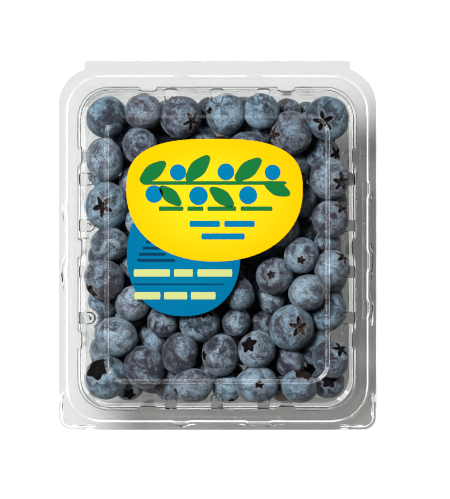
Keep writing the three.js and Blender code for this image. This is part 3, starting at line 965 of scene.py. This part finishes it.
def keep_inside(berry):
    """Holds a berry between the walls, whose corners are round, the base and the lid."""
    wall = wall_inset_at(berry["z"])
    corner = max(widest_corner - (wall - bead_at) * corner_tightening, tightest_corner)
    corner = max(corner - berry["r"], 0)
    edge_x = half_x - wall - berry["r"] - corner
    edge_y = half_y - wall - berry["r"] - corner
    near_x = clamp(berry["x"], -edge_x, edge_x)
    near_y = clamp(berry["y"], mid_y - edge_y, mid_y + edge_y)
    over_x = berry["x"] - near_x
    over_y = berry["y"] - near_y
    over = math.sqrt(over_x * over_x + over_y * over_y)
    if over > corner:
        berry["x"] = near_x + over_x * corner / over
        berry["y"] = near_y + over_y * corner / over
    open_above = berry["home"] or under_label(berry["x"], berry["y"])
    top = berry_ceiling - berry["r"] if open_above else covered_ceiling
    berry["z"] = clamp(berry["z"], berry_floor + berry["r"], top)


def has_room(berries, spot, overlap):
    """Whether a berry at a spot would keep far enough from all others."""
    return all(sum((other[k] - spot[k]) ** 2 for k in "xyz")
               >= (overlap * (other["r"] + spot["r"])) ** 2 for other in berries)


def start_berries():
    """The listed berries at their heights, and a lattice of others wherever there is room."""
    berries = [{"x": x, "y": y, "r": r, "z": berry_ceiling - r - lower_drop * lower,
                "home": (x, y), "give": low_give if lower else top_give, "look": look}
               for x, y, r, lower, *look in shown_berries]
    for z in berry_layers:
        row, y = 0, mid_y - fill_reach_y
        while y <= mid_y + fill_reach_y:
            x = -fill_reach_x + (row % 2) * fill_pitch * 0.5
            while x <= fill_reach_x:
                berry = {"x": x + draw() - 0.5, "y": y + draw() - 0.5, "z": z + draw() - 0.5}
                berry.update(r=fill_small + fill_spread * draw(), home=None, give=fill_give)
                keep_inside(berry)
                if has_room(berries, berry, fill_overlap):
                    berries.append(berry)
                x += fill_pitch
            row += 1
            y += fill_pitch * row_share
    return berries


def settle(berries):
    """Pushes touching berries apart, a little at a time, until they lie beside each other."""
    for turn in range(settle_rounds):
        for i, a in enumerate(berries):
            for b in berries[i + 1:]:
                dx = b["x"] - a["x"]
                dy = b["y"] - a["y"]
                dz = b["z"] - a["z"]
                least = a["r"] + b["r"] - settle_press
                squared = dx * dx + dy * dy + dz * dz
                if squared < least * least:
                    distance = math.sqrt(squared) + 1e-9
                    push = (least - distance) / distance
                    share_a = push * a["give"] / (a["give"] + b["give"])
                    share_b = push - share_a
                    for k, d in (("x", dx), ("y", dy), ("z", dz)):
                        a[k] -= share_a * d
                        b[k] += share_b * d
        for berry in berries:
            if berry["home"]:
                berry["x"] += home_pull * (berry["home"][0] - berry["x"])
                berry["y"] += home_pull * (berry["home"][1] - berry["y"])
                berry["z"] += float_step if berry["give"] == top_give else 0
            elif turn < settle_rounds / 2:
                berry["z"] -= sink_step
            keep_inside(berry)
    return berries


heap = settle(start_berries())
print(len(heap), "berries, the first at", [round(heap[0][k], 3) for k in "xyz"])

# %% [markdown]
# A lattice that only sinks under its own weight leaves gaps at the walls, where a real punnet
# shows berry beside berry. So smaller berries are tried at random places near the walls, the
# largest first, and each is kept where there is room for it. These have no solids.

# %% Small berries in the gaps
gap_tries = 900
gap_radii = [6.2, 5.7, 5.2, 4.7, 4.3]
gap_top = 26
gap_depth = 13
gap_overlap = 0.93
gap_draws = random.Random(4)
for radius in gap_radii:
    for _ in range(gap_tries):
        spot = {"x": gap_draws.uniform(-half_x, half_x),
                "y": gap_draws.uniform(mid_y - half_y, mid_y + half_y),
                "z": gap_draws.uniform(berry_floor, gap_top), "r": radius, "home": None}
        keep_inside(spot)
        wall = wall_inset_at(spot["z"]) + radius
        inset = min(half_x - abs(spot["x"]), half_y - abs(spot["y"] - mid_y))
        if inset <= wall + gap_depth and has_room(heap, spot, gap_overlap):
            heap.append(spot)
print(len(heap), "berries with the small ones")

# %% [markdown]
# Every berry is a copy of a master with a mesh of its own, pressed a little out of round, and
# with a ragged crown. Each point keeps its place on its own berry and three random numbers, so
# that one material can give every berry another skin. The noise behind the ragged crowns
# follows the clock unless it has a seed, so it gets one, and every run makes the same berries.

# %% Placing the berries
noise.seed_set(1)
crown_pull = 0.09
fuller = 1.045
flattest, flat_spread = 0.87, 0.08
lump_size, dent_size = 0.05, 0.02
skin_steps = (7.31, 3.77, 5.13)
skin_span = 50


def berry_at(berry, master, direction, turn, stretch, number):
    """A berry of the heap with its crown towards the direction."""
    copy = master.copy()
    copy.data = master.data.copy()
    copy.name = f"berry_{number}"
    scene.collection.objects.link(copy)
    mesh = copy.data
    for name in ("own", "chance"):
        mesh.attributes.new(name, "FLOAT_VECTOR", "POINT")
    own, chance = mesh.attributes["own"].data, mesh.attributes["chance"].data
    crown = mesh.attributes["crown"].data
    offset = Vector([number * step % skin_span for step in skin_steps])
    draws = Vector((draw(), draw(), draw()))
    radius = berry["r"] * fuller * MM
    flat = flattest + flat_spread * draw()
    place = Matrix.Translation(Vector((berry["x"], berry["y"], berry["z"])) * MM)
    spin = Vector((0, 0, 1)).rotation_difference(direction).to_matrix().to_4x4()
    spin = spin @ Matrix.Rotation(turn, 4, "Z")
    wide = Matrix.Diagonal((radius / math.sqrt(stretch), radius * math.sqrt(stretch), radius, 1))
    for i, vertex in enumerate(mesh.vertices):
        co = vertex.co.copy()
        own[i].vector = co + offset
        chance[i].vector = draws
        lump = noise.noise(co * 0.9 + offset) * lump_size
        lump += noise.noise(co * 2.1 + offset) * dent_size
        ragged = noise.noise_vector(co * 3.5 + offset) * crown_pull * crown[i].value
        vertex.co = co * (1 + lump) + ragged
    mesh.transform(place @ wide @ spin @ Matrix.Diagonal((1, 1, flat, 1)))
    return copy


def unit_crown(x, y):
    """The crown's direction from where it shows in plan; past 1 it points down and out."""
    flat_reach = math.hypot(x, y)
    if flat_reach < 0.98:
        return Vector((x, y, math.sqrt(1 - flat_reach ** 2)))
    return Vector((x, y, -0.3)).normalized()


above, below = [], []
for number, berry in enumerate(heap):
    turn = draw() * 2 * math.pi
    if berry["home"]:
        kind, crown_x, crown_y, stretch = berry["look"]
        direction = unit_crown(crown_x, crown_y)
        if kind == "scar":
            kind, direction = "pit", -direction
        above.append(berry_at(berry, masters[kind], direction, turn, stretch, number))
    else:
        direction = Vector((draw() - 0.5, draw() - 0.5, draw() - 0.5)).normalized()
        below.append(berry_at(berry, masters["small"], direction, turn, 1.0, number))
for master in masters.values():
    bpy.data.objects.remove(master)
berries_above = join(above, "berries_above")
berries_below = join(below, "berries_below")
print("berries:", triangles_of(berries_above), "+", triangles_of(berries_below), "triangles")

# %% The dark core of the heap: painted shade for the deep gaps, a block that also blocks light
core_inset = 24 * MM
core_middle, core_half_height = 13 * MM, 7 * MM
core_bumps = 2.2 * MM
bpy.ops.mesh.primitive_cube_add(size=2)
painted_shade_core = bpy.context.object
painted_shade_core.name = "heap_painted_shade_core"
bpy.ops.object.mode_set(mode="EDIT")
bpy.ops.transform.resize(value=(half_width - core_inset, half_length - core_inset, core_half_height))
bpy.ops.transform.translate(value=(0, middle_y, core_middle))
bpy.ops.mesh.subdivide(number_cuts=24)
leave_edit()
for vertex in painted_shade_core.data.vertices:
    vertex.co += vertex.co.normalized() * noise.noise(vertex.co * 140) * core_bumps
print("core:", triangles_of(painted_shade_core), "triangles")

# %% [markdown]
# ## Materials
# Helper functions lay out the nodes. What several materials share, such as the ripple of the
# formed sheet or the grain of the print, is a node group with its own sockets.

# %% Node helpers
def new_material(name):
    """A new material with its node tree, its surface node and its output node."""
    material = bpy.data.materials.new(name)
    material.use_nodes = True
    nodes = material.node_tree.nodes
    return material, material.node_tree, nodes["Principled BSDF"], nodes["Material Output"]


def set_input(tree, socket, value):
    """Links a node's input to another socket, or gives it a value."""
    if isinstance(value, bpy.types.NodeSocket):
        tree.links.new(value, socket)
    else:
        socket.default_value = value


def node(tree, kind, inputs=None, **settings):
    """A node with its settings, and its inputs set to values or linked to sockets."""
    made = tree.nodes.new(kind)
    for name, value in settings.items():
        setattr(made, name, value)
    for key, value in (inputs or {}).items():
        set_input(tree, made.inputs[key], value)
    return made


def math_of(tree, operation, a, b=0.0, clamp_it=False):
    made = node(tree, "ShaderNodeMath", {0: a, 1: b}, operation=operation, use_clamp=clamp_it)
    return made.outputs[0]


def remap(tree, value, low, high, to_low=0.0, to_high=1.0):
    """Carries a value from one range over to another, with soft ends."""
    made = node(tree, "ShaderNodeMapRange",
                {0: value, 1: low, 2: high, 3: to_low, 4: to_high}, interpolation_type="SMOOTHSTEP")
    return made.outputs[0]


def noise_of(tree, vector, scale, detail=3.0, roughness=0.5, distortion=0.0):
    made = node(tree, "ShaderNodeTexNoise", {"Vector": vector, "Scale": scale, "Detail": detail,
                                             "Roughness": roughness, "Distortion": distortion})
    return made.outputs[0]


def blend_colours(tree, factor, a, b):
    """Mixes two colours, each a socket or red, green and blue."""
    made = tree.nodes.new("ShaderNodeMix")
    made.data_type = "RGBA"
    set_input(tree, made.inputs[0], factor)
    for socket, colour in ((made.inputs[6], a), (made.inputs[7], b)):
        set_input(tree, socket, (*colour, 1) if isinstance(colour, tuple) else colour)
    return made.outputs[2]


def attribute(tree, name, output=2):
    return node(tree, "ShaderNodeAttribute", attribute_name=name).outputs[output]


def group_of(name, inputs, outputs):
    """An empty node group with its sockets. Returns it with its input and output nodes."""
    tree = bpy.data.node_groups.new(name, "ShaderNodeTree")
    for label, kind, default in inputs:
        socket = tree.interface.new_socket(label, in_out="INPUT", socket_type=kind)
        if default is not None:
            socket.default_value = default
    for label, kind in outputs:
        tree.interface.new_socket(label, in_out="OUTPUT", socket_type=kind)
    return tree, tree.nodes.new("NodeGroupInput"), tree.nodes.new("NodeGroupOutput")


def use_group(tree, group, inputs):
    made = tree.nodes.new("ShaderNodeGroup")
    made.node_tree = group
    for key, value in inputs.items():
        set_input(tree, made.inputs[key], value)
    return made


# %% [markdown]
# ### Clear sheet
# The plastic is plain smooth glass with the index of PET and a faint ripple. Light on its way
# to the berries and the floor passes straight through, a little weakened, because path traced
# light seldom finds a small lamp through bent glass.

# %% The clear sheet
waves_per_metre = 60.0
pet_index = 1.57
ripple, ripple_in, ripple_out = group_of(
    "sheet ripple", [("Scale", "NodeSocketFloat", waves_per_metre)],
    [("Height", "NodeSocketFloat")])
place = node(ripple, "ShaderNodeTexCoord").outputs["Object"]
slow = noise_of(ripple, place, ripple_in.outputs["Scale"], 2.0, 0.5)
fast = node(ripple, "ShaderNodeTexNoise", {"Vector": place, "Scale": 260.0, "Detail": 1.0}).outputs[0]
height = math_of(ripple, "ADD", slow, math_of(ripple, "MULTIPLY", fast, 0.15))
ripple.links.new(height, ripple_out.inputs["Height"])


def clear_material(name, tint, passed, bump):
    """A clear sheet of a tint. passed is the share of the light that goes straight through."""
    material, tree, skin, output = new_material(name)
    skin.inputs["Base Color"].default_value = (*tint, 1)
    skin.inputs["Roughness"].default_value = 0.03
    skin.inputs["IOR"].default_value = pet_index
    skin.inputs["Transmission Weight"].default_value = 1.0
    waves = use_group(tree, ripple, {"Scale": waves_per_metre})
    bumped = node(tree, "ShaderNodeBump", {"Height": waves.outputs[0], "Strength": bump,
                                           "Distance": 1 * MM})
    tree.links.new(bumped.outputs[0], skin.inputs["Normal"])
    path = node(tree, "ShaderNodeLightPath")
    through = math_of(tree, "MAXIMUM", path.outputs["Is Shadow Ray"], path.outputs["Is Diffuse Ray"])
    clear = node(tree, "ShaderNodeBsdfTransparent", {"Color": (*passed, 1)})
    mix = node(tree, "ShaderNodeMixShader", {0: through, 1: skin.outputs[0], 2: clear.outputs[0]})
    tree.links.new(mix.outputs[0], output.inputs["Surface"])
    return material


lid_clear = clear_material("lid_pet", (0.985, 0.99, 0.985), (0.955, 0.96, 0.955), 0.12)
tray_clear = clear_material("tray_pet", (0.975, 0.985, 0.98), (0.95, 0.955, 0.95), 0.12)


def coat(piece, material):
    """Gives a piece one material and no other."""
    piece.data.materials.clear()
    piece.data.materials.append(material)


coat(lid_shell, lid_clear)
coat(hinge_film, lid_clear)
coat(tray_shell, tray_clear)

# %% [markdown]
# ### Print
# The sticker's colours are flat inks with a slight grain, and the yellow lightens towards the
# middle of its field.

# %% Inks
grain, grain_in, grain_out = group_of(
    "print grain", [("Color", "NodeSocketColor", None), ("Amount", "NodeSocketFloat", 0.06)],
    [("Color", "NodeSocketColor"), ("Roughness", "NodeSocketFloat")])
place = node(grain, "ShaderNodeTexCoord").outputs["Object"]
speck = noise_of(grain, place, 2200.0, 2.0, 0.6)
cloud = noise_of(grain, place, 90.0, 3.0, 0.5)
both = math_of(grain, "ADD", math_of(grain, "MULTIPLY", speck, 0.6),
               math_of(grain, "MULTIPLY", cloud, 0.4))
darker = node(grain, "ShaderNodeHueSaturation", {"Color": grain_in.outputs["Color"], "Value": 0.8})
factor = math_of(grain, "MULTIPLY", both, grain_in.outputs["Amount"])
grain.links.new(blend_colours(grain, factor, grain_in.outputs["Color"], darker.outputs[0]),
                grain_out.inputs["Color"])
grain.links.new(remap(grain, cloud, 0.3, 0.7, 0.5, 0.62), grain_out.inputs["Roughness"])


def ink_material(name, middle, edge=None, centre=(0, 0), radii=(1, 1)):
    """An ink that changes from one colour in the middle of an oval to another at its edge."""
    material, tree, skin, _ = new_material(name)
    colour = node(tree, "ShaderNodeRGB").outputs[0]
    colour.default_value = (*middle, 1)
    if edge:
        place = node(tree, "ShaderNodeTexCoord").outputs["Object"]
        scale = (1 / radii[0], 1 / radii[1], 0)
        local = node(tree, "ShaderNodeMapping", {"Vector": place, "Scale": scale,
                     "Location": (-centre[0] * scale[0], -centre[1] * scale[1], 0)})
        reach = node(tree, "ShaderNodeVectorMath", {0: local.outputs[0]}, operation="LENGTH")
        colour = blend_colours(tree, remap(tree, reach.outputs["Value"], 0.35, 1.05), middle, edge)
    inked = use_group(tree, grain, {"Color": colour, "Amount": 0.25})
    tree.links.new(inked.outputs["Color"], skin.inputs["Base Color"])
    tree.links.new(inked.outputs["Roughness"], skin.inputs["Roughness"])
    skin.inputs["Specular IOR Level"].default_value = 0.03
    return material


coat(yellow_field, ink_material("yellow_ink", (0.72, 0.465, 0.006), (0.7, 0.385, 0.0),
                                yellow_centre, yellow_radii))
coat(blue_field, ink_material("blue_ink", (0.0, 0.12, 0.24), (0.0, 0.11, 0.225),
                              blue_centre, blue_radii))
paper_back = ink_material("paper_back", (0.34, 0.34, 0.325))
for field in (yellow_field, blue_field):
    field.data.materials.append(paper_back)
    for face in field.data.polygons:
        face.material_index = int(face.normal.z < -0.5)
coat(leaves, ink_material("green_ink", (0.006, 0.12, 0.028)))
coat(dots, ink_material("blue_dots_ink", (0.0, 0.13, 0.27)))
coat(bars, ink_material("pale_ink", (0.42, 0.46, 0.17)))
coat(notes, ink_material("dark_ink", (0.002, 0.03, 0.07)))

# %% [markdown]
# ### Berry skin
# The skin is nearly black purple under a pale wax bloom. The bloom lies thick in some places
# and is rubbed off in others, in wide patches, in fine mottling and in thin lines. The crown's
# pit is brown, its lip pale.

# %% The skin
skin_material, tree, skin, _ = new_material("blueberry_skin")
own = attribute(tree, "own", 1)
chances = node(tree, "ShaderNodeSeparateXYZ", {0: attribute(tree, "chance", 1)}).outputs
crown = attribute(tree, "crown")
scar = attribute(tree, "scar")

patches = noise_of(tree, own, 1.3, 3.0, 0.6, 0.8)
mottling = noise_of(tree, own, 5.0, 6.0, 0.72, 0.4)
grains = noise_of(tree, own, 26.0, 3.0, 0.8)


def thin_lines(scale, distortion, width):
    """A mask of thin winding lines, where a noise passes its middle value."""
    winding = noise_of(tree, own, scale, 5.0, 0.65, distortion)
    off = math_of(tree, "ABSOLUTE", math_of(tree, "SUBTRACT", winding, 0.5))
    return remap(tree, off, 0.0, width, 1.0, 0.0)


def where_high(value, low, high, share):
    """A mask of where a value is high, scaled by a share."""
    return math_of(tree, "MULTIPLY", remap(tree, value, low, high), share)


rubbed = math_of(tree, "MULTIPLY", thin_lines(2.8, 1.6, 0.014), 0.7)
scratched = math_of(tree, "MULTIPLY", thin_lines(6.5, 0.8, 0.022), 0.5)
specks = where_high(noise_of(tree, own, 11.0, 4.0, 0.8), 0.56, 0.6, 0.8)
flecks = where_high(noise_of(tree, own, 20.0, 2.0, 0.6), 0.6, 0.64, 0.8)

amount = math_of(tree, "ADD", remap(tree, patches, 0.35, 0.65, -0.26, 0.55),
                 remap(tree, mottling, 0.3, 0.7, -0.08, 0.53))
amount = math_of(tree, "ADD", amount, remap(tree, grains, 0.3, 0.7, -0.3, 0.3))
amount = math_of(tree, "ADD", amount, remap(tree, chances[0], 0.0, 1.0, -0.1, 0.3))
for worn in (rubbed, scratched, specks):
    amount = math_of(tree, "SUBTRACT", amount, worn)
amount = math_of(tree, "SUBTRACT", amount, flecks, True)

bare = blend_colours(tree, chances[1], (0.012, 0.014, 0.024), (0.034, 0.024, 0.034))
bloom = blend_colours(tree, chances[2], (0.215, 0.342, 0.44), (0.3, 0.378, 0.462))
colour = blend_colours(tree, amount, bare, bloom)
warm = where_high(noise_of(tree, own, 2.3, 2.0, 0.5), 0.66, 0.74, 0.5)
warm = math_of(tree, "MULTIPLY", warm, remap(tree, chances[0], 0.4, 0.6))
colour = blend_colours(tree, warm, colour, (0.16, 0.1, 0.05))
lip = remap(tree, crown, 0.03, 0.2)
colour = blend_colours(tree, math_of(tree, "MULTIPLY", lip, 0.4), colour, (0.22, 0.24, 0.27))
stalk = blend_colours(tree, remap(tree, chances[1], 0.8, 0.9), (0.03, 0.024, 0.02), (0.2, 0.11, 0.04))
colour = blend_colours(tree, remap(tree, scar, 0.3, 0.8), colour, stalk)
tree.links.new(colour, skin.inputs["Base Color"])
tree.links.new(remap(tree, amount, 0.0, 1.0, 0.42, 0.62), skin.inputs["Roughness"])
skin.inputs["Specular IOR Level"].default_value = 0.3
skin.inputs["Sheen Weight"].default_value = 0.2
skin.inputs["Sheen Roughness"].default_value = 0.35
skin.inputs["Sheen Tint"].default_value = (0.7, 0.82, 0.95, 1)
fine = math_of(tree, "ADD", mottling, math_of(tree, "MULTIPLY", grains, 0.4))
bumped = node(tree, "ShaderNodeBump", {"Height": fine, "Strength": 0.45, "Distance": 0.4 * MM})
tree.links.new(bumped.outputs[0], skin.inputs["Normal"])

crown_material, tree, crown_skin, _ = new_material("blueberry_crown")
own = attribute(tree, "own", 1)
streaks = noise_of(tree, own, 9.0, 4.0, 0.7)
chances = node(tree, "ShaderNodeSeparateXYZ", {0: attribute(tree, "chance", 1)}).outputs
dry = blend_colours(tree, remap(tree, chances[1], 0.4, 0.9), (0.01, 0.008, 0.008), (0.1, 0.068, 0.056))
browns = blend_colours(tree, remap(tree, streaks, 0.4, 0.65), (0.0025, 0.002, 0.003), dry)
tree.links.new(browns, crown_skin.inputs["Base Color"])
crown_skin.inputs["Roughness"].default_value = 0.8
crown_skin.inputs["Specular IOR Level"].default_value = 0.1

# The core's near-black colour is painted shade for the deep gaps between the lower berries.
painted_shade_material, _, painted_shade_skin, _ = new_material("heap_painted_shade")
painted_shade_skin.inputs["Base Color"].default_value = (0.012, 0.013, 0.02, 1)
painted_shade_skin.inputs["Roughness"].default_value = 0.9
for heap_part in (berries_above, berries_below):
    coat(heap_part, skin_material)
    heap_part.data.materials.append(crown_material)
    marks = heap_part.data.attributes["crown"].data
    for face in heap_part.data.polygons:
        face.material_index = int(min(marks[i].value for i in face.vertices) > 0.4)
coat(painted_shade_core, painted_shade_material)

# %% [markdown]
# ## Joining the visual pieces to the frame
# Each visual piece replaces a solid and rides on its body. The film of the hinge belongs to
# neither side: it keeps the place where it is made.

# %% Pieces, solids and bodies
for piece, solid, body, slot in (
        (tray_shell, "tray", "tray", "clear_tray"), (lid_shell, "lid", "lid", "clear_lid"),
        (yellow_field, "label", "lid", "printed_label"), (blue_field, None, "lid", "printed_label"),
        (leaves, None, "lid", "printed_label"), (dots, None, "lid", "printed_label"),
        (bars, None, "lid", "printed_label"), (notes, None, "lid", "printed_label"),
        (berries_above, "berries", "tray", "berry_skin"),
        (berries_below, None, "tray", "berry_skin"), (painted_shade_core, None, "tray", "berry_skin")):
    if solid:
        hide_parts(solid)
    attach(piece, body)
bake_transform(hinge_film)

# %% [markdown]
# ## Floor, light and camera
# The pack stands on a bright floor that lights nothing and isn't mirrored. A thin mat right
# under the pack glows with a soft painted shadow, and it reaches as far as the flange covers
# the floor for the camera, so that all of it is seen through the sheet. The key light comes
# from the upper left and isn't mirrored. Three long low strips and two small lights at the
# right corners draw the bright lines along the bends. The backdrop is bright only for the
# camera and for what is seen through the sheet.

# %% The floor
camera_height = 1.5
camera_place = Vector((2.69 * MM, -1.38 * MM, camera_height + lid_flange))
shadow_left, shadow_back = -33 * MM, 41 * MM
side_fade = (-8 * MM, 18 * MM)
front_fade = (-44 * MM, -56 * MM)
shadow_glow, front_glow = (0.182, 0.182, 0.175), (0.28, 0.28, 0.27)
bright_glow = (0.765, 0.765, 0.76)


def cast_on_floor(co):
    """Where the camera's line of sight through a point meets the floor."""
    share = camera_place.z / (camera_place.z - co.z)
    return Vector((camera_place.x + (co.x - camera_place.x) * share,
                   camera_place.y + (co.y - camera_place.y) * share, 0))


mat = ring(0, 0, back_corner, front_corner)
mat.name = "mat_under_pack"
select_where(mat, lambda co: True)
bpy.ops.mesh.edge_face_add()
leave_edit()
select_where(mat, at_hinge)
bpy.ops.mesh.extrude_edges_move()
bpy.ops.transform.resize(value=(1, 0, 1), center_override=(0, cad_box[1].y, 0))
leave_edit()
for vertex in mat.data.vertices:
    vertex.co = cast_on_floor(Vector((vertex.co.x, vertex.co.y, lid_flange)))
face_up(mat, 1)
mat_material, tree, mat_skin, _ = new_material("shaded_floor")
place = node(tree, "ShaderNodeSeparateXYZ", {0: node(tree, "ShaderNodeTexCoord").outputs["Object"]})
beyond_left = math_of(tree, "SUBTRACT", shadow_left, place.outputs["X"])
beyond_back = math_of(tree, "SUBTRACT", place.outputs["Y"], shadow_back)
lit = remap(tree, math_of(tree, "MAXIMUM", beyond_left, beyond_back), *side_fade)
in_front = remap(tree, place.outputs["Y"], *front_fade)
dim = blend_colours(tree, in_front, shadow_glow, front_glow)
glow_colour = blend_colours(tree, lit, dim, bright_glow)
tree.links.new(glow_colour, mat_skin.inputs["Emission Color"])
mat_skin.inputs["Emission Strength"].default_value = 1.0
mat_skin.inputs["Base Color"].default_value = (0.12, 0.12, 0.118, 1)
mat_skin.inputs["Roughness"].default_value = 0.9
mat_skin.inputs["Specular IOR Level"].default_value = 0.2
coat(mat, mat_material)

bpy.ops.mesh.primitive_plane_add(size=1.6, location=(0, 0, -0.5 * MM))
floor = bpy.context.object
floor.name = "bright_floor"
floor_material, _, floor_skin, _ = new_material("bright_floor")
floor_skin.inputs["Base Color"].default_value = (0.6, 0.6, 0.6, 1)
floor_skin.inputs["Roughness"].default_value = 0.9
floor_skin.inputs["Emission Color"].default_value = (1, 1, 1, 1)
floor_skin.inputs["Emission Strength"].default_value = 0.7
coat(floor, floor_material)
floor.visible_diffuse = False
floor.visible_glossy = False

# %% Lights
def area_light(name, place, aim, width, length, watts, diffuse=True):
    """A rectangular light that faces its aim. It is not seen directly or through glass."""
    bpy.ops.object.light_add(type="AREA", location=place)
    light = bpy.context.object
    light.name = name
    light.data.shape = "RECTANGLE"
    light.data.size = width
    light.data.size_y = length
    light.data.energy = watts
    light.rotation_euler = (Vector(aim) - Vector(place)).to_track_quat("-Z", "Y").to_euler()
    light.visible_camera = False
    light.visible_transmission = False
    light.visible_diffuse = diffuse
    return light


key = area_light("key", (-0.46, 0.4, 1.1), (0, 0, 0), 0.38, 0.38, 32)
key.visible_glossy = False
for name, place, width, length, watts in (
        ("strip_right", (0.45, -0.02, 0.29), 0.6, 0.16, 1.9),
        ("strip_front", (0.02, -0.45, 0.29), 0.6, 0.16, 1.2),
        ("strip_left", (-0.45, -0.02, 0.29), 0.6, 0.16, 1.4),
        ("corner_front_right", (0.39, -0.39, 0.35), 0.22, 0.12, 0.8),
        ("corner_back_right", (0.39, 0.39, 0.35), 0.22, 0.12, 0.2)):
    area_light(name, place, (0, 0, 0.03), width, length, watts, diffuse=False)

world = bpy.data.worlds.new("world")
scene.world = world
world.use_nodes = True
sky = world.node_tree
background = sky.nodes["Background"]
background.inputs["Color"].default_value = (1, 1, 1, 1)
up = node(sky, "ShaderNodeSeparateXYZ", {0: node(sky, "ShaderNodeTexCoord").outputs["Generated"]})
glow = remap(sky, up.outputs["Z"], -0.05, 0.35, 0.01, 0.03)
shade = remap(sky, up.outputs["Z"], 0.93, 0.985, 1.0, 0.08)
path = node(sky, "ShaderNodeLightPath").outputs
seen = math_of(sky, "MAXIMUM", path["Is Camera Ray"], path["Is Transmission Ray"])
backdrop = math_of(sky, "MULTIPLY", seen, remap(sky, up.outputs["Z"], 0.3, 0.45, 1.0, 0.0))
sky.links.new(math_of(sky, "MAXIMUM", math_of(sky, "MULTIPLY", glow, shade), backdrop),
              background.inputs["Strength"])

# %% Camera and picture settings
sensor = 36
view_width = 172 * MM
camera_data = bpy.data.cameras.new("camera")
camera = bpy.data.objects.new("camera", camera_data)
scene.collection.objects.link(camera)
scene.camera = camera
camera.location = camera_place
camera_data.sensor_width = sensor
camera_data.lens = sensor * camera_height / view_width
camera_data.clip_start = 0.1
camera_data.clip_end = 10

scene.view_settings.view_transform = "Standard"
scene.cycles.max_bounces = 16
scene.cycles.transmission_bounces = 14
scene.cycles.transparent_max_bounces = 24
scene.cycles.diffuse_bounces = 4
scene.cycles.glossy_bounces = 4
scene.cycles.caustics_reflective = False
scene.cycles.caustics_refractive = False
scene.cycles.use_denoising = True
scene.cycles.filter_width = 1.1
